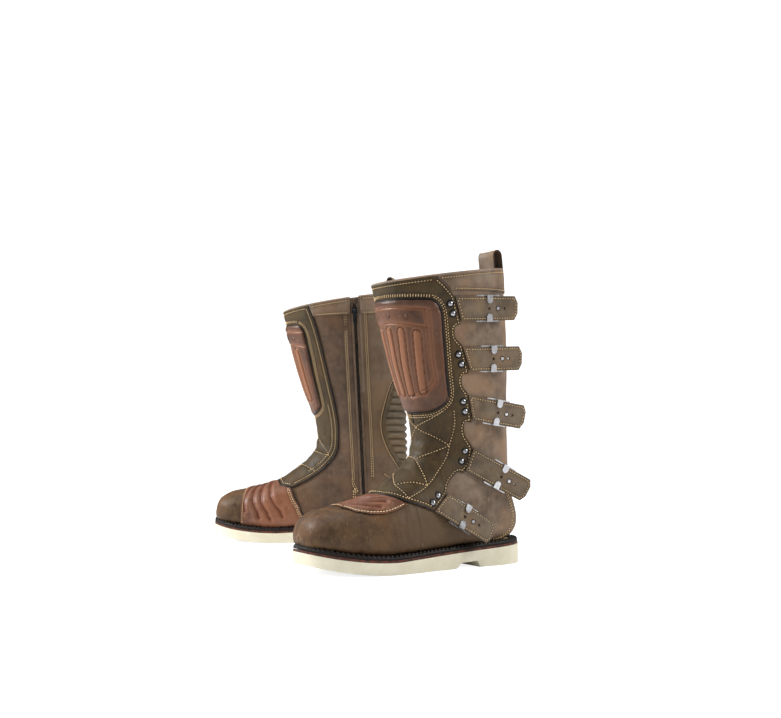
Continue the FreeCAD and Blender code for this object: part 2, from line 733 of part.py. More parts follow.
def strap_solid(strap, frame):
    """The leather strap: curved along the leg, then straight past the clip to a clipped tip."""
    half = STRAP_THICK / 2
    clip, along, width, outward = clip_place(strap, frame)
    tip = clip + along * strap["tail"]
    path = frame["path"]

    def face_edge(side):
        points = []
        for i, (a, b) in enumerate(path):
            (a0, b0), (a1, b1) = path[max(i - 1, 0)], path[min(i + 1, len(path) - 1)]
            length = math.hypot(a1 - a0, b1 - b0)
            point = frame["centre"] + frame["run"] * (a - side * half * (b1 - b0) / length)
            points.append(point + frame["out"] * (b + side * half * (a1 - a0) / length))
        curve = Part.BSplineCurve()
        curve.interpolate(points)
        end = tip + outward * (side * half)
        return points[0], end, [curve.toShape(), Part.makeLine(points[-1], end)]

    inner_start, inner_end, inner = face_edge(-1)
    outer_start, outer_end, outer = face_edge(1)
    edges = inner + [Part.makeLine(inner_end, outer_end)] + outer[::-1]
    edges.append(Part.makeLine(outer_start, inner_start))
    breadth = frame["width"] * STRAP_WIDTH
    solid = Part.Face(Part.Wire(edges)).extrude(breadth)
    solid.translate(breadth * -0.5)

    side = frame["across"]
    behind = box((-40, 40), (-20, 20), (-30, 0))
    forward = frame["out"].cross(side) * -1
    if forward.dot(frame["run"]) < 0:
        forward = forward * -1
    start = frame["centre"] + frame["run"] * strap["gap"]
    solid = solid.cut(place(behind, start, side, forward.cross(side), forward))

    long, wide = TIP_CORNER
    edge = STRAP_WIDTH / 2
    for y in (-1, 1):
        corner = [Vector(0, y * (edge - wide), -5), Vector(1, y * (edge + 1), -5), Vector(-long, y * edge, -5)]
        wedge = Part.Face(Part.makePolygon(corner + corner[:1])).extrude(Vector(0, 0, 10))
        solid = solid.cut(place(wedge, tip, along, width, outward))
    for distance, radius in HOLES:
        hole = Part.makeCylinder(radius, 12, Vector(distance, 0, -6))
        solid = solid.cut(place(hole, clip, along, width, outward))
    return solid


def clip_solid(strap, frame):
    """The sprung steel clip: a plate behind the strap, two tabs folded over its edges and a peg."""
    back = -STRAP_THICK / 2 - 0.2
    front = STRAP_THICK / 2 + 0.3
    side = STRAP_WIDTH / 2 + 0.3
    plate = box(CLIP_BACK, (-side - CLIP_SHEET, side + CLIP_SHEET), (back - CLIP_SHEET, back))
    plate = plate.makeFillet(2.5, [e for e in plate.Edges if is_vertical(e)])
    low, high, wide = CLIP_WINDOW
    plate = plate.cut(box((low, high), (-wide, wide), (-10, 0)))
    parts = [plate]
    for y in (-1, 1):
        wall_y = sorted((y * side, y * (side + CLIP_SHEET)))
        wall = box((-CLIP_TAB / 2, CLIP_TAB / 2), wall_y, (back - CLIP_SHEET, front + CLIP_SHEET))
        radius = CLIP_TAB / 2
        tab_y = sorted((y * (side + CLIP_SHEET), y * (side - CLIP_REACH + radius)))
        tab = box((-radius, radius), tab_y, (front, front + CLIP_SHEET))
        end = Part.makeCylinder(radius, CLIP_SHEET, Vector(0, y * (side - CLIP_REACH + radius), front))
        parts += [wall, tab, end]
    peg = Part.makeCylinder(PEG_RADIUS, front - back + 0.6, Vector(HOLES[1][0], 0, back - CLIP_SHEET / 2))
    solid = parts[0].multiFuse(parts[1:] + [peg]).removeSplitter()
    return place(solid, *clip_place(strap, frame))


def catch_solid(strap, frame):
    """The catch that the clip's window hooks over, standing on the lateral quarter."""
    low, high, wide = CATCH
    clip, along, width, outward = clip_place(strap, frame)
    top = -STRAP_THICK / 2 - 0.35
    u, v = nearest(clip + along * low, *strap["leave"])
    lowest = (on_form(u, v, UPPER[1]) - clip - along * low).dot(outward)
    block = box((low, high), (-wide, wide), (lowest + 0.35, top))
    return place(block, clip, along, width, outward)


def nearest(point, u, v):
    """The place on the form nearest to a point, by stepping from a first guess."""
    step_u, step_v = 0.4, 8.0
    best = (form_point(u, v) - point).Length
    while step_v > 0.01:
        moved = False
        for du, dv in ((step_u, 0), (-step_u, 0), (0, step_v), (0, -step_v)):
            distance = (form_point(u + du, v + dv) - point).Length
            if distance < best:
                best, u, v, moved = distance, u + du, v + dv, True
        if not moved:
            step_u /= 2
            step_v /= 2
    return u, v


def rivet_heads(strap, frame):
    sphere = (RIVET_RADIUS ** 2 + RIVET_HEIGHT ** 2) / (2 * RIVET_HEIGHT)
    cut = box((-9, 9), (-9, 9), (-20, 0))
    dome = Part.makeSphere(sphere, Vector(0, 0, RIVET_HEIGHT - sphere)).cut(cut)
    heads = []
    for side in (-1, 1):
        target = frame["centre"] + frame["across"] * (side * RIVET_SPACING / 2) - frame["run"] * RIVET_BACK
        u, v = nearest(target, *strap["top"])
        out = form_normal(u, v)
        x_axis = frame["across"].cross(out).normalize()
        heads.append(place(dome, on_form(u, v, OVERLAY[1] + RIVET_CLEAR), x_axis, out.cross(x_axis), out))
    return heads


# ---- zip ---------------------------------------------------------------------------------------------
def zip_frame():
    """The zip's straight line: its lower end, the way up, across (to the toe) and out."""
    def skin(x, z):
        u, v = nearest(Vector(x, -60, z), 8.4 + (z - 66) / 46, -101)
        for _ in range(30):
            point = form_point(u, v)
            v += (point.x - x) * -0.9
            u += (z - form_point(u, v).z) / 60
        return form_point(u, v), form_normal(u, v)

    top, _ = skin(*ZIP_TOP)
    bottom, _ = skin(*ZIP_BOTTOM)
    _, normal = skin((ZIP_TOP[0] + ZIP_BOTTOM[0]) / 2, (ZIP_TOP[1] + ZIP_BOTTOM[1]) / 2)
    up = (top - bottom).normalize()
    across = up.cross(normal).normalize()
    if across.x < 0:
        across = across * -1
    out = across.cross(up).normalize()
    if out.dot(normal) < 0:
        out = out * -1
    highest = 0.0
    for z in steps(ZIP_BOTTOM[1], ZIP_TOP[1], 25):
        share = (z - ZIP_BOTTOM[1]) / (ZIP_TOP[1] - ZIP_BOTTOM[1])
        x = ZIP_BOTTOM[0] + (ZIP_TOP[0] - ZIP_BOTTOM[0]) * share
        point, _ = skin(x, z)
        highest = max(highest, (point - bottom).dot(out))
    length = (top - bottom).Length
    return {"foot": bottom + out * (highest + ZIP_CLEAR), "up": up, "across": across, "out": out,
            "length": length}


def in_zip(shape, frame, height=0.0):
    """Place a shape drawn with x across, y up and z out at a height on the zip line."""
    origin = frame["foot"] + frame["up"] * height
    flip = frame["across"].cross(frame["up"]).dot(frame["out"]) < 0
    side = frame["across"] * (-1 if flip else 1)
    return place(shape, origin, side, frame["up"], frame["out"])


def zip_chain(frame):
    """Two coils, each with its tape, a slot's width apart so that the slider's wedge can pass."""
    length = frame["length"] - ZIP_END
    halves = []
    for side in (-1, 1):
        coil = box(sorted(side * x for x in ZIP_COIL), (0, length), ZIP_COIL_LAYER)
        tape = box(sorted(side * x for x in ZIP_TAPE), (0, length), ZIP_TAPE_LAYER)
        halves.append(coil.fuse(tape).removeSplitter())
    return in_zip(Part.makeCompound(halves), frame)


def zip_slider(frame):
    """Two plates round the coils, a wedge that parts them, and a bail on two cheeks."""
    length, half = SLIDER
    back, face = [box((-half, half), (-length / 2, length / 2), layer) for layer in SLIDER_PLATES]
    face = face.makeFillet(2.5, [e for e in face.Edges if is_vertical(e)])
    thin, deep, high = SLIDER_WEDGE
    wedge = box((-thin, thin), (length / 2 - deep, length / 2), (0, high))
    cheeks = [box(sorted((s * 2.7, s * 3.6)), (-1.2, 1.2), (4.4, BAIL_HEIGHT + 0.9)) for s in (-1, 1)]
    bar = Part.makeCylinder(BAIL_RADIUS, 6.4, Vector(-3.2, 0, BAIL_HEIGHT), Vector(1, 0, 0))
    solid = back.multiFuse([face, wedge, bar] + cheeks).removeSplitter()
    return in_zip(solid, frame, frame["length"] - SLIDER_REST)


def zip_pull(frame):
    """The pull tab, hanging from the bail with an eye that clears the bar."""
    eye_radius, bore_radius = PULL_EYE
    layer = (BAIL_HEIGHT - PULL_HALF, BAIL_HEIGHT + PULL_HALF)
    eye = Part.makeCylinder(eye_radius, 4.6, Vector(-2.3, 0, BAIL_HEIGHT), Vector(1, 0, 0))
    neck = box((-2.3, 2.3), (-6.0, 0), layer)
    wide = box((-PULL_WIDTH / 2, PULL_WIDTH / 2), (-PULL_LENGTH, -5.5), layer)
    wide = wide.makeFillet(2.4, [e for e in wide.Edges if is_vertical(e)])
    bore = Part.makeCylinder(bore_radius, 12, Vector(-6, 0, BAIL_HEIGHT), Vector(1, 0, 0))
    solid = eye.multiFuse([neck, wide]).cut(bore).removeSplitter()
    return in_zip(solid, frame, frame["length"] - SLIDER_REST)


# ---- one boot, and the pair --------------------------------------------------------------------------
def build_boot():
    boot = sole_parts()
    boot["footbed"] = footbed()
    boot["lining"] = lining()
    boot["vamp"] = vamp()
    boot["medial_quarter"] = medial_quarter()
    boot["lateral_quarter"] = lateral_quarter()
    boot["back_flex_panel"] = flex_panel()
    boot["collar"] = collar()
    boot["front_wrap"] = front_wrap()
    boot["shift_guard"] = shift_guard()
    boot["shin_plate"] = shin_plate()
    boot["pull_loop"] = pull_loop()
    fixed_metal = []
    for number, strap in enumerate(STRAPS, 1):
        frame = strap_frame(strap)
        boot["strap_%d" % number] = strap_solid(strap, frame)
        boot["strap_clip_%d" % number] = clip_solid(strap, frame)
        fixed_metal += rivet_heads(strap, frame) + [catch_solid(strap, frame)]
    boot["rivets_and_catches"] = Part.makeCompound(fixed_metal)
    frame = zip_frame()
    boot["zip_chain"] = zip_chain(frame)
    boot["zip_slider"] = zip_slider(frame)
    boot["zip_pull"] = zip_pull(frame)
    return boot


def placed_left(shape):
    moved = shape.copy()
    moved.translate(Vector(-MID_FOOT - PAIR_CENTRE[0], -PAIR_CENTRE[1], 0))
    return moved


def placed_right(shape):
    moved = shape.mirror(Vector(0, 0, 0), Vector(0, 1, 0))
    moved.translate(Vector(-MID_FOOT, 0, 0))
    moved.rotate(Vector(0, 0, 0), Vector(0, 0, 1), RIGHT_YAW)
    moved.translate(Vector(RIGHT_PLACE[0] - PAIR_CENTRE[0], RIGHT_PLACE[1] - PAIR_CENTRE[1], 0))
    return moved


def main():
    os.makedirs("parts", exist_ok=True)
    for name, shape in build_boot().items():
        placed_left(shape).exportStep("parts/left_%s.step" % name)
        placed_right(shape).exportStep("parts/right_%s.step" % name)


if __name__ == "__main__":
    main()
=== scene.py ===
import json
import math

import bpy
import numpy as np
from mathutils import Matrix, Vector
from mathutils.kdtree import KDTree


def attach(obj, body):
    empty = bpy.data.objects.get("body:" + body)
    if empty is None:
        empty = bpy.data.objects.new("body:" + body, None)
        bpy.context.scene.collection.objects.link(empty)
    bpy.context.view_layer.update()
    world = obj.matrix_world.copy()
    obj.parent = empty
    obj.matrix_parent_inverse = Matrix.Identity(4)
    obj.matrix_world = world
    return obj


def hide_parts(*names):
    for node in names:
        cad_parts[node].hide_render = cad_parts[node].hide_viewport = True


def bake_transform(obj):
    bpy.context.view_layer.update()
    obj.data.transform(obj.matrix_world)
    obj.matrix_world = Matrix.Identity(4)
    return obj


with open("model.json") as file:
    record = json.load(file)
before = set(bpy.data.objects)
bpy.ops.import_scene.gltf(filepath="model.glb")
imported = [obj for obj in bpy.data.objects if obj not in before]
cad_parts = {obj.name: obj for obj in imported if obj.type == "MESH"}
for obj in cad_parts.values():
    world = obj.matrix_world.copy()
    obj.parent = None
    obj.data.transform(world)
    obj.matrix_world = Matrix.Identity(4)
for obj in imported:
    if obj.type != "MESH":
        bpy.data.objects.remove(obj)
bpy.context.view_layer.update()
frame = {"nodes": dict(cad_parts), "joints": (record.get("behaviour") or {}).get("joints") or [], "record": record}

# A pair of motorcycle boots: leather panels, stitching, piping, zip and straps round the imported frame.
# Shapes are drawn in millimetres in one boot's own frame (x heel to toe, y to the lateral side, z up) and
# then placed twice: as the left boot, and mirrored and turned as the right one. A place on the boot's form
# is (u, v): u counts sections from the toe (0) to the rim (15), v is the angle round a section, 0 in front.

SIDES = ("left", "right")
MM = 0.001

# ---- the form ----------------------------------------------------------------------------------------
SECTIONS = [
    (0, 301.5, 44, 301.5, 43, 0.5, -7), (1, 298, 58, 299, 35, 20, -7), (2, 289, 69, 290, None, 33, -6),
    (3, 270, 76, 272, None, 42, -4), (4, 240, 80, 240, None, 47.5, 0), (5, 208, 90, 206, None, 49, 2),
    (6, 180, 107, 168, None, 45.5, 3), (7, 152, 131, 118, None, 40, 2), (8, 143, 154, 62, None, 37, 1),
    (8.6, 142.5, 169, 24, None, 36.5, 0.4), (9, 144, 179, 7, 40, 36.5, 0), (10, 150, 205, 6, 76, 39, 0),
    (11, 160, 232, 13, 125, 43, 0), (12, 170, 262, 16, 185, 47.5, 0), (13, 178.5, 293, 17, 240, 52, 0),
    (14, 187.5, 322, 20, 303, 56.5, 0), (15, 196, 352, 28, 378, 62, 0),
]
WIDEST = [(0, 0.5), (2, 0.45), (4, 0.38), (6, 0.35), (8, 0.42), (10, 0.5), (15, 0.5)]
SQUARENESS = [(0, 2.0), (2, 3.2), (4, 5.0), (6, 5.0), (8, 4.0), (10, 2.4), (12, 2.15), (15, 2.15)]
FRONT_SQUARENESS = 2.1
OUTSOLE_FOREFOOT, OUTSOLE_HEEL = 14.5, 25.0
SPRING_START, SPRING_LENGTH, TOE_SPRING = 200.0, 105.0, 13.0
MIDSOLE, WELT = 3.0, 4.2
SOLE_PLAN = [
    (-6, 0), (6, 26), (30, 37), (66, 40), (112, 44), (152, 50), (194, 57), (234, 56), (266, 47),
    (290, 31), (303, 12), (307, -7), (301, -29), (288, -42), (266, -52), (234, -55.5), (194, -52),
    (152, -46), (112, -42), (66, -39.5), (30, -36.5), (6, -26),
]


def spline(rows):
    """A natural cubic curve through rows of (parameter, value, ...), as a function of arrays."""
    rows = np.array(rows, float)
    t, y = rows[:, 0], rows[:, 1:]
    n, h = len(t), np.diff(t)
    matrix, right = np.eye(n), np.zeros_like(y)
    for i in range(1, n - 1):
        matrix[i, i - 1:i + 2] = h[i - 1], 2 * (h[i - 1] + h[i]), h[i]
        right[i] = 6 * ((y[i + 1] - y[i]) / h[i] - (y[i] - y[i - 1]) / h[i - 1])
    bend = np.linalg.solve(matrix, right)

    def at(x):
        x = np.asarray(x, float)
        k = np.clip(np.searchsorted(t, x) - 1, 0, n - 2)
        b = ((x - t[k]) / h[k])[..., None]
        a = 1 - b
        step = h[k][..., None] ** 2 / 6
        return a * y[k] + b * y[k + 1] + ((a ** 3 - a) * bend[k] + (b ** 3 - b) * bend[k + 1]) * step
    return at


def outsole_top(x):
    rise = TOE_SPRING * (np.maximum(x - SPRING_START, 0) / SPRING_LENGTH) ** 2
    slope = (OUTSOLE_HEEL - OUTSOLE_FOREFOOT) / SPRING_START
    return OUTSOLE_FOREFOOT + slope * np.maximum(SPRING_START - x, 0) + rise


def welt_top(x):
    return outsole_top(x) + MIDSOLE + WELT


section = spline([[u, a, b, c, welt_top(c) + 0.5 if d is None else d, w, s]
                  for u, a, b, c, d, w, s in SECTIONS])
widest = spline(WIDEST)
squareness = spline(SQUARENESS)


def form(u, v):
    u, v = np.broadcast_arrays(np.asarray(u, float), np.asarray(v, float))
    rows = section(u)
    c = np.round(np.cos(np.radians(v)), 12)
    s = np.round(np.sin(np.radians(v)), 12)
    wide = widest(u)[..., 0]
    power = 2 / np.where(c >= 0, FRONT_SQUARENESS, squareness(u)[..., 0])
    a = wide + np.where(c >= 0, 1 - wide, wide) * np.sign(c) * np.abs(c) ** power
    y = rows[..., 5] + np.maximum(rows[..., 4], 0.1) * np.sign(s) * np.abs(s) ** power
    return np.stack([rows[..., 2] + (rows[..., 0] - rows[..., 2]) * a, y,
                     rows[..., 3] + (rows[..., 1] - rows[..., 3]) * a], -1)


def unit(vectors):
    return vectors / np.maximum(np.linalg.norm(vectors, axis=-1, keepdims=True), 1e-9)


def normal(u, v):
    u, v = np.broadcast_arrays(np.asarray(u, float), np.asarray(v, float))
    along = form(u + 0.01, v) - form(np.maximum(u - 0.01, 0), v)
    return unit(np.cross(form(u, v + 0.1) - form(u, v - 0.1), along))


def skin(u, v, offset=0.0):
    return form(u, v) + normal(u, v) * np.asarray(offset, float)[..., None]


def locate(points, u, v):
    """The places on the form nearest to some points, from first guesses."""
    u, v = np.array(u, float), np.array(v, float)
    for _ in range(8):
        here = form(u, v)
        du = (form(u + 0.01, v) - here) / 0.01
        dv = (form(u, v + 0.1) - here) / 0.1
        gap = points - here
        a, b, c = (du * du).sum(-1), (du * dv).sum(-1), (dv * dv).sum(-1)
        p, q = (gap * du).sum(-1), (gap * dv).sum(-1)
        det = np.maximum(a * c - b * b, 1e-9)
        u = np.clip(u + np.clip((c * p - b * q) / det, -0.3, 0.3), 0.01, 15.3)
        v = v + np.clip((a * q - b * p) / det, -8, 8)
    return u, v


def bisect(function, low, high):
    low, high = np.array(low, float), np.array(high, float)
    sign = function(low) > 0
    for _ in range(36):
        middle = (low + high) / 2
        same = (function(middle) > 0) == sign
        low, high = np.where(same, middle, low), np.where(same, high, middle)
    return (low + high) / 2


# ---- lines and grids on the form ---------------------------------------------------------------------
def arc(points):
    return np.concatenate([[0], np.cumsum(np.linalg.norm(np.diff(points, axis=0), axis=1))])


def at_length(rows, length, at):
    """Rows of values along a line, read off at the given lengths."""
    return np.stack([np.interp(at, length, column) for column in np.asarray(rows).T], -1)


def resample(points, step=1.0, *extra):
    """Points evenly spaced along a polyline, and extra rows carried along with them."""
    length = arc(points)
    at = np.linspace(0, length[-1], max(int(round(length[-1] / step)) + 1, 2))
    made = [at_length(rows, length, at) for rows in (points,) + extra]
    return made if extra else made[0]


def line(rows, step=2.0, smooth=False):
    """A (u, v) line through rows of (u, v), evenly spaced by its real length."""
    rows = np.array(rows, float)
    if smooth:
        length = arc(form(rows[:, 0], rows[:, 1]))
        rows = spline(np.column_stack([length, rows]))(np.linspace(0, length[-1], 20 * len(rows)))
    else:
        parts = [rows[:1]] + [a + (b - a) * np.linspace(0, 1, 13)[1:, None] for a, b in zip(rows, rows[1:])]
        rows = np.concatenate(parts)
    return resample(form(rows[:, 0], rows[:, 1]), step, rows)[1]


def straight(nodes):
    """A (u, v) line that runs as straight as the form allows from node to node."""
    rows = []
    for start, end in zip(nodes, nodes[1:]):
        t = np.linspace(0, 1, 25)
        first = np.array(start)[:, None] * (1 - t) + np.array(end)[:, None] * t
        chord = form(*start) * (1 - t)[:, None] + form(*end) * t[:, None]
        rows.append(np.column_stack(locate(chord, *first)))
    return line(np.concatenate(rows))


def inset(uv, distance, soften=0):
    """A (u, v) line moved sideways over the form: to its left, seen from outside."""
    points, out = form(*uv.T), normal(*uv.T)
    side = unit(np.cross(out, np.gradient(points, axis=0)))
    target = points + side * np.asarray(distance, float).reshape(-1, 1)
    for _ in range(soften):
        target[1:-1] = (target[:-2] + 2 * target[1:-1] + target[2:]) / 4
    return np.column_stack(locate(target, *uv.T))


def trim(uv, start=0.0, end=0.0):
    length = arc(form(*uv.T))
    keep = (length >= start) & (length <= length[-1] - end)
    return uv[keep]


def evenly(border, count):
    border = np.array(border, float)
    length = arc(form(*border.T))
    return at_length(border, length, np.linspace(0, length[-1], count)).T


def between(low, high, rows, columns):
    (u0, v0), (u1, v1) = evenly(low, rows), evenly(high, rows)
    t = np.linspace(0, 1, columns)
    return (u0[:, None] + (u1 - u0)[:, None] * t, v0[:, None] + (v1 - v0)[:, None] * t)


def stretched(lower, top, low, high, rows, columns):
    """A grid from a curved lower border u = lower(v) up to u = top, between v = low(u) and v = high(u)."""
    s, t = np.meshgrid(np.linspace(0, 1, rows), np.linspace(0, 1, columns), indexing="ij")
    u = np.full_like(s, top)
    for _ in range(12):
        v = low(u) + (high(u) - low(u)) * t
        u = lower(v) * (1 - s) + top * s
    return u, low(u) + (high(u) - low(u)) * t


def rows_between(u, low, high, columns):
    """A grid with a row at each u, from v = low to v = high. Both are functions of u, or plain angles."""
    low, high = (edge(u) if callable(edge) else np.full(u.shape, edge) for edge in (low, high))
    across = low[:, None] + (high - low)[:, None] * np.linspace(0, 1, columns)
    return np.repeat(u[:, None], columns, 1), across


def steps(low, high, count):
    return np.linspace(low, high, count)


def columns_of(*parts):
    return np.column_stack([np.concatenate([p[0] for p in parts]), np.concatenate([p[1] for p in parts])])


def sides_of(u, v):
    """A grid's first row, last column, last row and first column, as lines that follow each other."""
    sides = (u[0], v[0]), (u[:, -1], v[:, -1]), (u[-1, ::-1], v[-1, ::-1]), (u[::-1, 0], v[::-1, 0])
    return [line(np.column_stack(side)) for side in sides]


def quads_of(index):
    return np.stack([index[:-1, :-1], index[:-1, 1:], index[1:, 1:], index[1:, :-1]], -1).reshape(-1, 4)


def grid_quads(rows, columns, first=0):
    return quads_of(first + np.arange(rows * columns).reshape(rows, columns))


def ring_quads(rings, sides, first=0, closed=True):
    """Quads between rings of vertices; closed ones also join the last ring to the first."""
    index = first + np.arange(rings * sides).reshape(rings, sides)
    index = np.concatenate([index, index[:1]]) if closed else index
    nxt = np.roll(index, -1, axis=1)
    return np.stack([index[:-1], index[1:], nxt[1:], nxt[:-1]], -1).reshape(-1, 4)


def wound(quads, points, out):
    """The quads, all turned over if the first one faces away from the given direction."""
    a, b, c = points.reshape(-1, 3)[quads[0][:3]]
    return quads if np.cross(b - a, c - a) @ out > 0 else quads[:, ::-1]


def circle(count):
    """Angles evenly round a circle."""
    return np.arange(count) * 2 * math.pi / count


def distance(points, lines):
    """Distance of each point from the nearest of some polylines."""
    dense = [resample(one, 0.8) for one in lines]
    all_points = np.concatenate(dense)
    before = np.concatenate([np.concatenate([one[:1], one[:-1]]) for one in dense])
    after = np.concatenate([np.concatenate([one[1:], one[-1:]]) for one in dense])
    tree = KDTree(len(all_points))
    for i, point in enumerate(all_points):
        tree.insert(point, i)
    tree.balance()
    nearest = np.array([tree.find(point)[1] for point in points])
    best = np.full(len(points), 1e9)
    here = all_points[nearest]
    for other in (before[nearest], after[nearest]):
        way = other - here
        size = np.maximum((way ** 2).sum(1), 1e-12)
        t = np.clip(((points - here) * way).sum(1) / size, 0, 1)
        best = np.minimum(best, np.linalg.norm(points - here - way * t[:, None], axis=1))
    return best


def gap_to(points, lines, height):
    """Distance of each point from the nearest of some (u, v) lines at a height over the form."""
    return distance(points, [skin(*one.T, height) for one in lines])


def waves(seed, length, count=16):
    """A smooth random field of unit strength, with features of about the given length in mm."""
    rng = np.random.default_rng(seed)
    way = unit(rng.normal(size=(count, 3)))
    way = way * (2 * math.pi / (length * rng.uniform(0.6, 1.7, (count, 1))))
    phase = rng.uniform(0, 2 * math.pi, count)
    return lambda points: np.sin(points @ way.T + phase).mean(-1) * math.sqrt(2 * count) * 0.7


def bump(distance_mm, width):
    return np.exp(-(distance_mm / width) ** 2)


# ---- placing a boot's shapes in the row frame ---------------------------------------------------------
MOUNTS = {m["name"]: m["pos_m"] for m in frame["record"]["mounts"]}
JOINTS = {j["name"]: j for j in frame["joints"]}
HEEL_MOUNT_X = 26.0


def turn_of_right():
    """The right boot's yaw, from how one joint stands to the heel mount on both boots."""
    left = np.subtract(JOINTS["left_strap_1_open"]["pos_m"], MOUNTS["left_heel_face"])
    right = np.subtract(JOINTS["right_strap_1_open"]["pos_m"], MOUNTS["right_heel_face"])
    return math.atan2(right[1], right[0]) - math.atan2(-left[1], left[0])


YAW = {"left": 0.0, "right": turn_of_right()}
HAND = {"left": 1.0, "right": -1.0}


def to_row(points, side):
    """Millimetres in the boot's frame to metres in the row frame."""
    points = np.asarray(points, float)
    x, y = points[..., 0] - HEEL_MOUNT_X, points[..., 1] * HAND[side]
    c, s = math.cos(YAW[side]), math.sin(YAW[side])
    mount = MOUNTS[side + "_heel_face"]
    return np.stack([(x * c - y * s) * MM + mount[0], (x * s + y * c) * MM + mount[1],
                     points[..., 2] * MM], -1)


MARKS = ("seam", "edge", "tint")      # what a leather's colour depends on, from vertex to vertex


def make_mesh(name, points, faces, marks):
    mesh = bpy.data.meshes.new(name)
    mesh.vertices.add(len(points))
    mesh.vertices.foreach_set("co", points.astype(np.float32).ravel())
    sizes = np.concatenate([np.full(len(f), f.shape[1]) for f in faces]).astype(np.int32)
    mesh.loops.add(int(sizes.sum()))
    mesh.loops.foreach_set("vertex_index", np.concatenate([f.ravel() for f in faces]).astype(np.int32))
    mesh.polygons.add(len(sizes))
    mesh.polygons.foreach_set("loop_start", (np.cumsum(sizes) - sizes).astype(np.int32))
    mesh.polygons.foreach_set("loop_total", sizes)
    mesh.update(calc_edges=True)
    for key in MARKS if marks is not None else ():
        rows = np.ravel(marks.get(key, np.zeros(len(points)))).astype(np.float32)
        mesh.attributes.new(key, "FLOAT", "POINT").data.foreach_set("value", rows)
    mesh.validate()
    mesh.shade_smooth()
    return mesh


def piece(name, points, faces, body, looks, slot, node=None, thick=0.0, bevel=0.0, marks=None, blend=None):
    """Adds a shape drawn in the boot's frame to both boots, in place of a CAD node if one is named.

    Faces are one array or a list of arrays. Looks name the materials of the surface and of its cut edge."""
    faces = faces if isinstance(faces, list) else [faces]
    for side in SIDES:
        turned = faces if side == "left" else [f[:, ::-1] for f in faces]
        mesh = make_mesh(side + "_" + name, to_row(points.reshape(-1, 3), side), turned, marks)
        obj = bpy.data.objects.new(side + "_" + name, mesh)
        bpy.context.scene.collection.objects.link(obj)
        for look in looks.split():
            mesh.materials.append(MATERIAL[look])
        if thick:
            solid = obj.modifiers.new("Thickness", "SOLIDIFY")
            solid.thickness, solid.offset = thick * MM, -1
            solid.use_even_offset = False
            solid.material_offset_rim = len(mesh.materials) - 1
        if bevel:
            round_edges(obj, bevel)
        if blend:
            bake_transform(obj)
        else:
            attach(obj, side + "_" + body)
        if node:
            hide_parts(side + "_" + node)


def round_edges(obj, width, angle=48, segments=2):
    bevel = obj.modifiers.new("Edges", "BEVEL")
    bevel.width, bevel.segments = width * MM, segments
    bevel.limit_method, bevel.angle_limit = "ANGLE", math.radians(angle)
    bevel.use_clamp_overlap = True


def weld(cells, height):
    """One surface from grids of (u, v): base points, normals, u, v and quads."""
    points, normals, us, vs, quads, count = [], [], [], [], [], 0
    for u, v in cells:
        quads.append(grid_quads(*u.shape, count))
        points.append(skin(u, v, height).reshape(-1, 3))
        normals.append(normal(u, v).reshape(-1, 3))
        us.append(u.ravel())
        vs.append(v.ravel())
        count += u.size
    points = np.concatenate(points)
    key = np.round(points * 16).astype(np.int64)
    _, first, back = np.unique(key, axis=0, return_index=True, return_inverse=True)
    quads = back.reshape(-1)[np.concatenate(quads)]
    good = np.array([len(set(q)) == 4 for q in quads.tolist()])
    return (points[first], np.concatenate(normals)[first], np.concatenate(us)[first],
            np.concatenate(vs)[first], quads[good])


def leather_panel(name, node, looks, slot, cells, height, thick, relief=None, seams=(), borders=(), bevel=0.5,
                  noise=(0.25, 38, 7), groove=0.45, puff=0.35, calm=None):
    """A leather panel with a stitched groove along each seam and a soft rise between seams.

    Relief gives each vertex its extra height, how far it takes the second colour, and how much painted shade
    darkens it.
    Noise is the random relief's height, length and seed; calm stills it where two panels meet flush."""
    points, normals, u, v, quads = weld(cells, height)
    strength, length, seed = noise
    rise = strength * waves(seed, length)(points) + 0.08 * waves(seed + 1, length / 4)(points)
    if calm:
        rise = rise * calm(u)
    near = gap_to(points, seams, height) if seams else np.full(len(points), 99.0)
    edge = gap_to(points, borders, height) if borders else near
    rise += -groove * bump(near, 1.5) + puff * (1 - np.exp(-np.minimum(near, edge) / 5.0)) - puff
    extra, tint, dark = relief(points, u, v) if relief else (0.0, 0.0, 0.0)
    # the seam mark darkens along stitched seams, and carries the relief's painted shade
    marks = {"seam": np.maximum(np.exp(-near / 1.8), dark), "edge": np.exp(-np.minimum(edge, near + 4) / 3.5),
             "tint": tint + np.zeros(len(points))}
    piece(name, points + normals * (rise + extra)[:, None], quads, "boot", looks, slot, node, thick, bevel,
          marks)


# ---- thread, cord and tubes ---------------------------------------------------------------------------
STITCH_SIDES = 6
STITCH_RINGS = np.array([(-1.0, 0.35, -0.75), (-0.72, 0.9, -0.12), (-0.3, 1.0, 0.1), (0.3, 1.0, 0.1),
                         (0.72, 0.9, -0.12), (1.0, 0.35, -0.75)])     # along, radius, lift
threads = {}


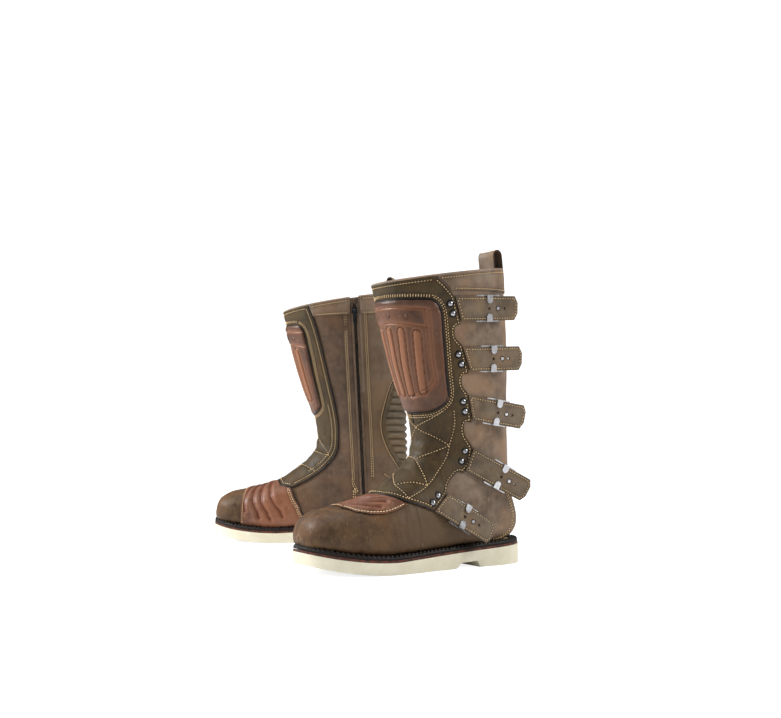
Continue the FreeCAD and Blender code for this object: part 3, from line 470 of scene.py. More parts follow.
def sew(where, thread, points, normals, pitch=3.7, size=(1.0, 0.58), slant=0.0, seed=3):
    """Stitches along a polyline that lies on the leather. Size is a stitch's half length and radius."""
    length = arc(points)
    count = int(length[-1] // pitch)
    if count < 1:
        return
    at = (np.arange(count) + 0.5) * length[-1] / count
    centre, out = at_length(points, length, at), unit(at_length(normals, length, at))
    ahead = at_length(points, length, np.minimum(at + 1, length[-1]))
    way = unit(ahead - at_length(points, length, np.maximum(at - 1, 0)))
    side = unit(np.cross(out, way))
    lean = slant + np.random.default_rng(seed).normal(0, 0.05, count)
    way = way * np.cos(lean)[:, None] + side * np.sin(lean)[:, None]
    side = unit(np.cross(out, way))
    half, radius = size
    angle = circle(STITCH_SIDES)
    turn = out[:, None] * np.cos(angle)[None, :, None] + side[:, None] * np.sin(angle)[None, :, None]
    rings = []
    for along, wide, lift in STITCH_RINGS:
        middle = centre + way * (along * half) + out * (radius * (lift + 0.35))
        rings.append(middle[:, None] + turn * (radius * wide))
    threads.setdefault((where, thread), []).append(np.stack(rings, 1))


def sew_line(uv, height, thread="tan", **options):
    sew("boot", thread, skin(*uv.T, height), normal(*uv.T), **options)


def stitch_faces(count):
    """Quads and end caps of count stitches laid out ring by ring."""
    rings, sides = len(STITCH_RINGS), STITCH_SIDES
    ring = np.arange(sides)
    quads = ring_quads(rings, sides, closed=False)
    caps = np.stack([ring, ring[::-1] + (rings - 1) * sides])
    start = (np.arange(count) * rings * sides)[:, None, None]
    return [(quads[None] + start).reshape(-1, 4), (caps[None] + start).reshape(-1, sides)]


def finish_threads():
    for (where, thread), blocks in threads.items():
        rows = np.concatenate(blocks)
        name = "stitching_" + thread if where == "boot" else where + "_stitching"
        piece(name, rows, stitch_faces(len(rows)), where, "thread_" + thread,
              "upper_leather" if where == "boot" else "strap_leather", blend=blends.get(where))


def tube(points, normals, radius, sides=10, flat=1.0):
    """A closed cord along a polyline: its points and faces. Flat scales it along the normals."""
    way = unit(np.gradient(points, axis=0))
    side = unit(np.cross(normals, way))
    up = np.cross(way, side)
    angle = circle(sides)
    ring = points[:, None] + radius * (up[:, None] * (np.cos(angle) * flat)[None, :, None]
                                       + side[:, None] * np.sin(angle)[None, :, None])
    caps = np.stack([np.arange(sides), len(points) * sides - 1 - np.arange(sides)])
    return ring, [ring_quads(len(points), sides, closed=False), caps]


def cord(name, uv, height, radius, slot, sides=10):
    points, normals = resample(skin(*uv.T, height), 2.0, normal(*uv.T))
    piece(name, *tube(points, unit(normals), radius, sides), "boot", "piping", slot)


# ---- materials -----------------------------------------------------------------------------------------
def rgb(r, g, b):
    """Linear colour from 0-255 screen values."""
    return tuple(((c / 255 + 0.055) / 1.055) ** 2.4 if c > 10 else c / 255 / 12.92 for c in (r, g, b)) + (1,)


class Nodes:
    """A short way to write a node tree."""

    def __init__(self, name):
        self.material = bpy.data.materials.new(name)
        self.material.use_nodes = True
        self.tree = self.material.node_tree
        self.tree.nodes.clear()
        self.out = self.new("ShaderNodeOutputMaterial")
        self.shader = self.new("ShaderNodeBsdfPrincipled")
        self.link(self.shader.outputs["BSDF"], self.out.inputs["Surface"])
        self.place = self.new("ShaderNodeTexCoord").outputs["Object"]

    def new(self, kind, **settings):
        node = self.tree.nodes.new(kind)
        for key, value in settings.items():
            setattr(node, key, value)
        return node

    def link(self, a, b):
        self.tree.links.new(a, b)

    def put(self, node, **inputs):
        for key, value in inputs.items():
            self.feed(node.inputs[key.replace("_", " ")], value)
        return node

    def feed(self, socket, value):
        if hasattr(value, "is_output"):
            self.link(value, socket)
        else:
            socket.default_value = value

    def noise(self, scale, detail=3.0, rough=0.55, stretch=None, distort=0.0):
        place = self.place
        if stretch:
            place = self.put(self.new("ShaderNodeMapping"), Vector=place, Scale=stretch).outputs[0]
        node = self.new("ShaderNodeTexNoise")
        self.put(node, Vector=place, Scale=scale, Detail=detail, Roughness=rough, Distortion=distort)
        return node.outputs["Fac"]

    def cells(self, scale):
        node = self.new("ShaderNodeTexVoronoi", feature="SMOOTH_F1")
        self.put(node, Vector=self.place, Scale=scale)
        return node.outputs["Distance"]

    def level(self, value, low, high, to=(0.0, 1.0)):
        node = self.new("ShaderNodeMapRange")
        self.put(node, Value=value)
        for index, number in zip((1, 2, 3, 4), (low, high) + tuple(to)):
            node.inputs[index].default_value = number
        return node.outputs[0]

    def math(self, operation, a, b=0.0):
        node = self.new("ShaderNodeMath", operation=operation)
        self.feed(node.inputs[0], a)
        self.feed(node.inputs[1], b)
        return node.outputs[0]

    def mix(self, factor, a, b):
        node = self.new("ShaderNodeMix", data_type="RGBA")
        for index, value in ((0, factor), (6, a), (7, b)):
            self.feed(node.inputs[index], value)
        return node.outputs[2]

    def attribute(self, name):
        return self.new("ShaderNodeAttribute", attribute_name=name).outputs["Fac"]

    def bump(self, height, strength, depth):
        node = self.new("ShaderNodeBump")
        self.put(node, Height=height, Strength=strength, Distance=depth)
        self.link(node.outputs[0], self.shader.inputs["Normal"])

    def sum(self, *terms):
        """Weighted sum of (output, weight) pairs."""
        total = None
        for value, weight in terms:
            part = self.math("MULTIPLY", value, weight)
            total = part if total is None else self.math("ADD", total, part)
        return total


def leather(name, base, dark_tone_and_shade, wear_and_highlight, rough=0.52, mottle=0.5, scuff=0.35, grain=0.22, tint=None):
    """Mottled, scuffed leather: darker at seams and cut edges, paler where it is rubbed; painted shade darkens
    hollows, creases and moulded grooves, and a painted highlight lightens sharp edges.
    """
    base, dark_tone_and_shade, wear_and_highlight = rgb(*base), rgb(*dark_tone_and_shade), rgb(*wear_and_highlight)
    n = Nodes(name)
    big, mid, fine = n.noise(24, 4), n.noise(95, 5, 0.6), n.noise(650, 3)
    cloud = n.sum((big, 0.55), (mid, 0.35), (fine, 0.12))
    colour = n.mix(n.level(cloud, 0.4, 0.6), n.mix(mottle, base, dark_tone_and_shade), base)
    warm = (base[0] * 1.25, base[1] * 1.0, base[2] * 0.75, 1)
    colour = n.mix(n.level(n.noise(17, 4, 0.6), 0.46, 0.62, (0, 0.55)), colour, warm)
    rub = n.level(n.noise(210, 8, 0.7, (1, 1, 0.45), 0.6), 0.56, 0.72, (0, scuff))
    colour = n.mix(rub, colour, wear_and_highlight)
    if tint:
        colour = n.mix(n.attribute("tint"), colour, rgb(*tint))
    point = n.new("ShaderNodeNewGeometry").outputs["Pointiness"]
    # paler on sharp convex edges: edge wear, and a painted highlight where the edges catch the light
    colour = n.mix(n.level(point, 0.52, 0.58, (0, 0.4)), colour, wear_and_highlight)
    # darker in hollows and creases: painted shade
    colour = n.mix(n.level(point, 0.485, 0.43, (0, 0.7)), colour, dark_tone_and_shade)
    dark = tuple(c * 0.42 for c in dark_tone_and_shade[:3]) + (1,)
    # darker along stitched seams, and painted shade in grooves and between ribs, from the relief's dark value
    colour = n.mix(n.math("MULTIPLY", n.attribute("seam"), 0.5), colour, dark)
    colour = n.mix(n.math("MULTIPLY", n.attribute("edge"), 0.3), colour, dark_tone_and_shade)
    n.link(colour, n.shader.inputs["Base Color"])
    n.link(n.level(mid, 0.35, 0.65, (rough - 0.07, rough + 0.1)), n.shader.inputs["Roughness"])
    n.put(n.shader, Specular_IOR_Level=0.26)
    height = n.sum((n.cells(620), 0.5), (n.noise(1500, 3), 0.35), (n.noise(190, 4), 0.6), (big, 0.5))
    n.bump(height, grain, 0.0011)
    return n.material


def plain(name, base, dark, rough=0.5, scale=300, grain=0.2, metal=0.0, spec=0.4, weave=None):
    """A spotted, slightly rough finish for thread, metal, rubber and cloth."""
    n = Nodes(name)
    spots = n.noise(scale, 5, 0.6)
    colour = n.mix(n.level(spots, 0.4, 0.66), rgb(*dark), rgb(*base))
    n.link(colour, n.shader.inputs["Base Color"])
    n.link(n.level(n.noise(scale * 0.4, 4), 0.3, 0.7, (rough - 0.06, rough + 0.08)),
           n.shader.inputs["Roughness"])
    n.put(n.shader, Metallic=metal, Specular_IOR_Level=spec)
    height = n.sum((spots, 0.5), (n.noise(scale * 4, 3), 0.5))
    if weave:
        for axis in ("X", "Z"):
            wave = n.new("ShaderNodeTexWave", bands_direction=axis)
            n.put(wave, Vector=n.place, Scale=weave, Distortion=0.4)
            height = n.math("ADD", height, n.math("MULTIPLY", wave.outputs["Fac"], 0.6))
    n.bump(height, grain, 0.0006)
    return n.material


# key: name, colour, its deep shade (also used for painted shade in hollows and grooves) and worn shade (also used
# for a painted highlight on sharp edges), roughness, mottling, scuffs, grain, second colour
LEATHERS = {
    # the upper's second colour darkens the lateral quarter low down, and is painted shade over its rear
    "upper": ("upper_leather", (136, 118, 101), (94, 76, 60), (172, 154, 136), 0.52, 0.8, 0.35, 0.24,
              (92, 72, 50)),
    "vamp": ("vamp_leather", (98, 74, 50), (54, 38, 25), (166, 134, 102), 0.5, 0.85, 0.4, 0.24, (92, 72, 50)),
    "inner": ("medial_leather", (104, 84, 68), (68, 52, 40), (146, 124, 106), 0.52, 0.75),
    "wrap": ("wrap_leather", (80, 66, 43), (48, 38, 24), (132, 112, 80), 0.56, 0.8, 0.32),
    "flex": ("flex_leather", (104, 91, 71), (58, 48, 35), (140, 123, 97), 0.5),
    "strap": ("strap_leather", (121, 106, 88), (80, 66, 51), (160, 143, 120), 0.48, 0.75),
    "plate": ("plate_leather", (106, 76, 60), (68, 45, 34), (156, 126, 110), 0.38, 0.7, 0.3, 0.2,
              (146, 98, 70)),
    # the guard's second colour is painted shade, for its grooves
    "guard": ("guard_leather", (136, 96, 76), (88, 56, 41), (172, 132, 108), 0.4, 0.7, 0.3, 0.2,
              (114, 58, 34)),
    "lining": ("lining_leather", (104, 84, 68), (66, 50, 40), (128, 106, 88), 0.6),
    "edge": ("cut_edge", (64, 48, 35), (38, 27, 19), (100, 76, 56), 0.6),
    "piping": ("piping_leather", (22, 18, 16), (11, 9, 8), (52, 45, 40), 0.4),
    "welt": ("welt_leather", (26, 21, 19), (12, 10, 9), (60, 51, 45), 0.55),
}
# key: name, colour, its dark shade, roughness, spots a metre, grain, metal, specular, weave
FINISHES = {
    "thread_tan": ("tan_thread", (255, 226, 178), (220, 182, 130), 0.7, 900, 0.5),
    "thread_light": ("light_thread", (255, 236, 202), (228, 196, 150), 0.7, 900, 0.5),
    "thread_dark": ("dark_thread", (50, 43, 38), (22, 19, 17), 0.6, 900, 0.5),
    "tape": ("zip_tape", (122, 100, 80), (88, 71, 56), 0.8, 500, 0.5, 0.0, 0.4, 420),
    "coil": ("zip_coil", (12, 12, 12), (6, 6, 6), 0.45, 700, 0.2, 0.0, 0.2),
    "zip_metal": ("zip_metal", (26, 25, 25), (14, 14, 14), 0.3, 260, 0.15, 0.2),
    "steel": ("bright_steel", (228, 228, 232), (196, 196, 200), 0.28, 320, 0.04, 0.85),
    "rivet": ("rivet_steel", (190, 190, 194), (150, 150, 154), 0.16, 320, 0.03, 1.0),
    "rubber": ("sole_rubber", (238, 232, 210), (230, 223, 198), 0.6, 60, 0.12),
    "midsole": ("midsole_edge", (112, 60, 42), (60, 32, 23), 0.5, 160, 0.35),
    "board": ("fibre_board", (190, 170, 136), (150, 128, 96), 0.8, 300, 0.5),
    "foam": ("footbed_cloth", (70, 66, 62), (40, 38, 36), 0.9, 500, 0.5, 0.0, 0.4, 300),
}
MATERIAL = {key: leather(*row) for key, row in LEATHERS.items()}
MATERIAL.update({key: plain(*row) for key, row in FINISHES.items()})

# ---- panel lines ---------------------------------------------------------------------------------------
# Outer faces are in millimetres over the form; the borders below are places (u, v) or (v, u) on it.
UPPER, OVERLAY, GUARD, COLLAR, PLATE = 2.4, 4.6, 4.5, 4.4, 7.6
UPPER_THICK = 2.0
SUNK = 0.3                                 # how far thread lies below a panel's face
VAMP_END, VAMP_UNDER = 6.0, 0.22           # the vamp's end, and how far it runs on under the quarters
QUARTER_START, SIDE_SEAM, UPPER_TOP = 6.1, 39.0, 14.97
COLLAR_LOW, RIM = 14.6, 15.0
WRAP_LOWER = [(-57, 5.97), (-42, 5.4), (-20, 5.2), (0, 5.1), (17, 5.2), (49, 5.77), (79, 6.67)]
WRAP_MEDIAL = [(5.4, -57), (6.9, -56), (8.1, -57), (9.4, -61), (10.6, -72), (12, -74), (13.2, -71),
               (14.4, -67), (15, -63)]
WRAP_LATERAL = [(6.6, 79.5), (7.37, 73), (8.73, 72), (10.07, 84), (11.07, 89), (11.73, 87.5), (12.43, 89.5),
                (13.1, 84), (13.8, 83), (14.45, 78.5), (14.75, 71), (15, 63)]
# start, end and depth of the dips in the wrap's edge between the straps
SCALLOPS = [(7.45, 8.62, 6.0), (10.15, 10.98, 8.0), (11.80, 12.36, 6.5), (13.17, 13.73, 6.5)]
GUARD_FRONT = 3.5
GUARD_LATERAL = [(3.5, 17), (3.8, 37), (4.3, 49), (4.8, 55), (5.3, 56.5), (6.2, 57)]
GUARD_REAR = [(-98, 6.2), (-75, 5.95), (-57, 5.85), (-42, 5.32), (-20, 5.12), (0, 5.02), (17, 5.12),
              (49, 5.66), (60, 5.9)]
PLATE_TOP, PLATE_MEDIAL, PLATE_LATERAL = 14.32, -52.0, 65.0
PLATE_LOWER = [(-52, 10.9), (-35, 10.25), (-18, 9.85), (0, 9.65), (20, 9.8), (40, 10.25), (65, 11.2)]
FLEX_PANEL = [(10.6, 204, 206), (10.9, 188, 220), (11.6, 176, 231), (12.3, 176, 224), (13.0, 184, 212),
              (13.4, 196, 199)]
ZIP_TOP, ZIP_BOTTOM, ZIP_END_U = (81.5, 366.0), (69.5, 66.0), 8.2      # x and z of the zip's ends
ZIP_SLOT, HEEL_SEAM, HEEL_SEAM_START = 5.0, 4.2, 0.14     # the leather's edges, from the zip's line
PLACKET_ROWS = (8.5, 11.2)                                # two stitch rows beside the zip


def polyline(rows, t):
    rows = np.array(rows, float)
    return np.interp(t, rows[:, 0], rows[:, 1])


wrap_medial_curve, plate_lower_curve = spline(WRAP_MEDIAL), spline(PLATE_LOWER)
flex_curve = spline(FLEX_PANEL)


def wrap_medial(u):
    return wrap_medial_curve(u)[..., 0]


def plate_lower(v):
    return plate_lower_curve(v)[..., 0]


def wrap_lower(v):
    return polyline(WRAP_LOWER, v)


def wrap_lateral(u):
    v = polyline(WRAP_LATERAL, u)
    for start, end, depth in SCALLOPS:
        across = (u - start) / (end - start)
        v = v - np.where((across > 0) & (across < 1), depth * (1 - (2 * across - 1) ** 4), 0)
    return v


def feather(u, side, layer=UPPER):
    """The angle at which a layer of the upper comes down to the welt."""
    u = np.asarray(u, float)

    def height(v):
        point = skin(u, side * v, layer)
        return point[..., 2] - welt_top(point[..., 0]) - 0.1
    angle = bisect(height, np.full(u.shape, 95.0), np.full(u.shape, 180.0))
    return np.where(height(np.full(u.shape, 180.0)) > 0, 180.0, angle)


def zip_distance(point):
    dx, dz = ZIP_TOP[0] - ZIP_BOTTOM[0], ZIP_TOP[1] - ZIP_BOTTOM[1]
    return ((point[..., 0] - ZIP_BOTTOM[0]) * dz - (point[..., 2] - ZIP_BOTTOM[1]) * dx) / math.hypot(dx, dz)


def zip_edge(u, away):
    u = np.asarray(u, float)
    low, high = np.full(u.shape, -150.0), np.full(u.shape, -60.0)
    return bisect(lambda v: zip_distance(form(u, v)) - away, low, high)


def heel_top():
    """Where the upper comes down to the welt at the heel."""
    def height(u):
        point = skin(u, 180.0, UPPER)
        return point[..., 2] - welt_top(point[..., 0]) - 0.4
    return float(bisect(height, 8.3, 9.2))


def seam_foot():
    """Where the zip's front edge would meet the welt."""
    return float(bisect(lambda u: zip_distance(form(u, -feather(u, -1))) - ZIP_SLOT, 7.0, 8.4))


# ---- the upper's base layer ------------------------------------------------------------------------------
def still_at_join(u):
    """No random relief where the vamp runs on into the quarters."""
    return np.clip(np.abs(u - QUARTER_START) / 0.5, 0.0, 1.0) ** 0.7


def ease(t):
    """Zero to one, with no corner at either end."""
    t = np.clip(t, 0, 1)
    return t * t * (3 - 2 * t)


def vamp():
    us = steps(0, VAMP_END + VAMP_UNDER, 124)
    medial, lateral = (np.column_stack([us, side * np.minimum(feather(us, side), 177)]) for side in (-1, 1))
    creases = [line(nodes, smooth=True) for nodes in ([(5.25, 70), (5.05, 92), (5.2, 112)],
                                                      [(5.62, 66), (5.5, 88), (5.75, 108)])]

    def relief(points, u, v):
        under = 0.3 * np.clip((u - VAMP_END + 0.1) / 0.08, 0, 1)
        shift = -0.35 * bump(gap_to(points, creases, UPPER), 3.0) - under
        return shift, np.clip((u - 4.7) / 1.3, 0, 1), 0.0

    leather_panel("vamp_leather", "vamp", "vamp edge", "upper_leather", [between(medial, lateral, 100, 130)],
                  UPPER, UPPER_THICK, relief, borders=[medial, lateral], noise=(0.3, 30, 11),
                  calm=still_at_join)


def medial_quarter(foot):
    low, up = steps(QUARTER_START, foot, 24), steps(foot, UPPER_TOP, 160)[1:]
    rear = columns_of((low, -feather(low, -1)), (up, zip_edge(up, ZIP_SLOT)))
    front = np.column_stack([steps(QUARTER_START, UPPER_TOP, 160), np.full(160, SIDE_SEAM - 0.7)])
    placket = [inset(line(rear[24:][::3]), -away) for away in PLACKET_ROWS]
    leather_panel("medial_quarter_leather", "medial_quarter", "inner edge", "upper_leather",
                  [between(rear, front, 190, 66)], UPPER, UPPER_THICK, None, placket, [rear],
                  noise=(0.35, 45, 21), puff=0.15)
    for row in placket:
        sew_line(row, UPPER - SUNK)


def lateral_quarter(foot):
    def rear_edge(u):
        return 360 + np.where(u < ZIP_END_U, zip_edge(u, HEEL_SEAM), zip_edge(u, -ZIP_SLOT))

    top = heel_top()
    us, us2 = steps(QUARTER_START, top, 80), steps(foot + HEEL_SEAM_START, top, 40)
    front = np.column_stack([us, np.full(80, SIDE_SEAM)])
    lateral_sole = np.column_stack([us, feather(us, 1)])
    medial_sole = np.column_stack([us2, 360 - feather(us2, -1)])
    lateral_sole[-1, 1] = medial_sole[-1, 1] = 180.0
    rise = steps(top, UPPER_TOP, 130)
    cells = [between(front, lateral_sole, 90, 90), rows_between(rise, SIDE_SEAM, 180.0, 90),
             rows_between(rise, 180.0, rear_edge, 50),
             between(medial_sole, np.column_stack([us2, rear_edge(us2)]), 40, 50)]
    rear = line([(u, float(rear_edge(np.array(u)))) for u in steps(9.0, UPPER_TOP, 60)])
    counter = trim(line([(9.9, 118), (9.43, 127), (9.0, 135), (8.6, 143), (8.25, 150)], smooth=True), 0, 2)
    counter_top = line([(9.9, 118), (10.0, 140), (10.02, 165), (10.02, 195), (10.0, 225), (9.95, 243)],
                       smooth=True)
    seams = [inset(rear, away) for away in PLACKET_ROWS] + [counter, inset(counter, 2.7), counter_top]
    wrinkle = waves(77, 16)

    def relief(points, u, v):
        ankle = np.exp(-((u - 9.3) / 0.9) ** 2) * np.exp(-((v - 105) / 30) ** 2)
        # second colour: darker low on the quarter towards the toe, and painted shade over the rear, past v = 190
        tint = np.maximum(ease((8.6 - u) / 1.9), 0.55 * ease((v - 190) / 40))
        return 0.35 * ankle * wrinkle(points * (0.6, 0.6, 1.6)), tint, 0.0

    leather_panel("lateral_quarter_leather", "lateral_quarter", "upper edge", "upper_leather", cells, UPPER,
                  UPPER_THICK, relief, seams, [lateral_sole, medial_sole, rear], noise=(0.35, 45, 31),
                  puff=0.15, calm=still_at_join)
    for row in seams:
        sew_line(row, UPPER - SUNK)


def lining_and_footbed():
    us = np.concatenate([[0.0, 0.3, 0.6], steps(1, RIM, 130)])
    shaft = np.meshgrid(us, steps(-180, 180, 97), indexing="ij")
    seam = line([(8.8, 180), (12, 180), (15, 180)])
    leather_panel("lining_leather", "lining", "lining", "lining_leather", [shaft], 0.0, 2.9, None, [seam],
                  bevel=0, noise=(0.12, 40, 41), groove=0.2, puff=0.05)
    u, v = rows_between(steps(1.5, 8.4, 70), 137.0, 223.0, 40)
    points = skin(u, v, -3.4)
    wave = waves(43, 22)(points.reshape(-1, 3)).reshape(u.shape)
    points = points - normal(u, v) * (0.15 * wave + 0.3)[..., None]
    piece("footbed_cloth", points, grid_quads(*u.shape)[:, ::-1], "boot", "foam", "foam", "footbed", -3.2,
          0.6)


def flex_panel():
    """The ribbed leather panel at the back of the calf."""
    low, high = (lambda u: flex_curve(u)[..., 0]), (lambda u: flex_curve(u)[..., 1])
    us = steps(FLEX_PANEL[0][0], FLEX_PANEL[-1][0], 170)
    border = columns_of((us, low(us)), (us[::-1], high(us[::-1])))
    border = line(np.concatenate([border, border[:1]])[::4])
    rib_pitch, rib_height = 10.5, 4.3

    def relief(points, u, v):
        inside = np.clip((gap_to(points, [border], OVERLAY) - 3.5) / 3.0, 0, 1)
        wave = np.abs(np.sin(math.pi * points[:, 2] / rib_pitch)) ** 0.6
        # the third value is painted shade, darkest in the hollows between the ribs
        return inside * (rib_height * wave - 0.9), 1.0, 0.85 * inside * (1 - wave) ** 1.3

    row = inset(border, 2.2, 3)
    leather_panel("flex_panel_leather", "back_flex_panel", "flex edge", "upper_leather",
                  [rows_between(us, low, high, 56)], OVERLAY, 1.9, relief, [row], [border], puff=0.1,
                  noise=(0.15, 20, 51))
    sew_line(row, OVERLAY - SUNK)
    sew_line(inset(border, -3.2, 3), UPPER + 0.1)


def collar():
    us = steps(COLLAR_LOW, RIM, 16)
    front = rows_between(us, lambda u: zip_edge(u, ZIP_SLOT + 2), lambda u: wrap_medial(u) - 1.5, 44)
    rear = rows_between(us, lambda u: wrap_lateral(u) + 2.0, lambda u: 360 + zip_edge(u, -ZIP_SLOT - 2), 150)
    rows, borders = [], []
    for u, v in (front, rear):
        low, high = (line(np.column_stack([u[i], v[i]])) for i in (0, -1))
        rows += [trim(inset(low, 2.4), 3, 3), trim(inset(high, -3.4), 3, 3)]
        borders.append(low)
    leather_panel("collar_leather", "collar", "upper edge", "upper_leather", [front, rear], COLLAR, 1.7, None,
                  rows, borders, puff=0.6, noise=(0.15, 25, 61))
    for row in rows:
        sew_line(row, COLLAR - 0.45)
    # a rolled binding over the raw top edges, wider across the rim than it is high
    start, end = (float(zip_edge(np.array(RIM), away)) for away in (ZIP_SLOT + 1.5, -ZIP_SLOT - 1.5))
    count, sides = 220, 14
    rim, around = np.full(count, RIM), np.linspace(start, 360 + end, count)
    middle = skin(rim, around, 0.7) + unit(form(rim, around) - form(rim - 0.2, around)) * 0.5
    out = normal(rim, around)
    points, faces = tube(middle, out, 1.0, sides)
    ring = points - middle[:, None]
    along_out = (ring * out[:, None]).sum(-1, keepdims=True)
    piece("rim_binding", middle[:, None] + (ring * 1.5 + out[:, None] * along_out * 2.4), faces, "boot",
          "upper", "upper_leather")


# ---- the wrap, guard and plate ---------------------------------------------------------------------------
def plate_outline():
    """The shin plate's outline, as one closed (u, v) line, anticlockwise seen from outside."""
    top = steps(PLATE_MEDIAL + 9, PLATE_LATERAL - 9, 40)
    low = steps(PLATE_LATERAL - 4, PLATE_MEDIAL + 3, 60)
    rows = np.concatenate([
        np.column_stack([plate_lower(low[::-1]), low[::-1]]),
        [(11.32, 65), (11.7, 65)],
        [(u, 65) for u in steps(12, 13.9, 8)],
        [(14.15, 64), (14.28, 60.5)],
        np.column_stack([np.full(40, PLATE_TOP), top[::-1]]),
        [(14.28, -47.5), (14.15, -51)],
        [(u, -52) for u in steps(13.9, 11.3, 10)],
    ])
    return line(np.concatenate([rows, rows[:1]]))


def front_wrap(outline):
    u, v = stretched(wrap_lower, RIM, wrap_medial, wrap_lateral, 210, 104)
    borders = sides_of(u, v)
    lower, lateral, top, medial = borders
    rows = [trim(inset(medial, 3.6, 6), 3, 3), trim(inset(medial, 9.5, 10), 150, 30),
            trim(inset(lower, 3.2, 4), 3, 4), trim(inset(lateral, 2.9, 3), 4, 3), trim(inset(top, 4.2), 3, 3)]
    window = [inset(outline, -5.0, 8), inset(outline, -7.6, 12)]
    quilt = [straight(path) for path in (
        [(9.53, -18), (8.92, 6), (10.6, 56)], [(8.92, 6), (9.14, 54.4), (7.15, 12.8), (6.77, 51.8)],
        [(6.77, 51.8), (6.36, 34.4), (5.84, 18), (5.94, 50)], [(5.84, 18), (6.4, -16), (7.0, -52)],
        [(8.92, 6), (8.2, -52)], [(7.15, 12.8), (8.2, -52)],
    )]
    quilt.append(line([(10.95, 69.6), (10.36, 66.8), (9.14, 54.4), (8.29, 51.6), (7.28, 50.6), (6.77, 51.8),
                       (5.94, 50)], smooth=True))
    dart = line([(9.6, 1), (9.35, 2), (9.1, 3)], smooth=True)
    creases = [line(c, smooth=True) for c in ([(8.55, -46), (8.3, -20), (8.22, 4), (8.35, 30), (8.7, 52)],
                                              [(7.75, -44), (7.55, -14), (7.6, 16), (7.9, 44)],
                                              [(6.75, -40), (6.6, -8), (6.62, 20)])]
    fine = waves(93, 9)

    def relief(points, u, v):
        fold = gap_to(points, creases, OVERLAY)
        lip = -0.5 * bump(gap_to(points, [outline], OVERLAY) - 1.0, 2.2)
        bend = np.exp(-((u - 7.9) / 1.3) ** 2) * (0.5 * bump(fold - 8, 5) + 0.12 * fine(points))
        slit = 0.9 * bump(gap_to(points, [dart], OVERLAY), 1.4)
        return lip - 0.7 * bump(fold, 4.0) - slit + bend, 0.0, 0.0

    leather_panel("front_wrap_leather", "front_wrap", "wrap edge", "wrap_leather", [(u, v)], OVERLAY, 2.1,
                  relief, rows + window + quilt, borders, noise=(0.3, 34, 71), bevel=0.6)
    for row in rows + quilt:
        sew_line(row, OVERLAY - SUNK)

    def over_plate(row):
        return (row[:, 0] > PLATE_TOP - 0.02) & (np.abs(row[:, 1] - 6) < 52)

    for row in window:
        row = np.roll(row, -int(np.argmax(over_plate(row))), axis=0)
        sew_line(row[~over_plate(row)], OVERLAY - SUNK, pitch=3.6, size=(1.0, 0.56))
    whip = inset(outline, -5.4, 4)
    sew_line(whip[over_plate(whip)], OVERLAY - 0.35, pitch=3.3, size=(1.9, 0.5), slant=1.45)
    cord("dart_piping", dart, OVERLAY - 0.2, 0.85, "wrap_leather", 8)
    # black piping under the medial and the lower edge
    cord("edge_piping", inset(np.concatenate([medial, lower[1:]]), -0.9, 6), UPPER + 1.0, 1.05,
         "wrap_leather")


def plate_gap_shadow_band(outline):
    """A black band under the shin plate's edge: a painted shadow of the gap round the plate, which shows as a line
    along its lateral and lower edge.
    """
    wide = 1.0 + 1.3 * np.clip((outline[:, 1] - 30) / 30, 0, 1) * (outline[:, 0] < PLATE_TOP + 0.05)
    wide = np.convolve(np.concatenate([wide[-6:], wide, wide[:6]]), np.ones(13) / 13, "same")[6:-6]
    inner, outer = inset(outline, 2.5, 6), inset(outline, -wide, 6)
    t = steps(0, 1, 7)[None, :, None]
    uv = inner[:, None] * (1 - t) + outer[:, None] * t
    crown = 0.55 - 0.5 * t[..., 0] ** 4
    points = skin(uv[..., 0], uv[..., 1], OVERLAY - 0.15) + normal(uv[..., 0], uv[..., 1]) * crown[..., None]
    rows, columns = uv.shape[:2]
    index = np.arange(rows * columns).reshape(rows, columns)
    index = np.concatenate([index[:-1], index[:1]])          # the outline closes on itself
    # the band is black leather standing in for the shadow in the gap
    piece("plate_gap_shadow", points, quads_of(index)[:, ::-1], "boot", "piping", "wrap_leather", thick=0.8)


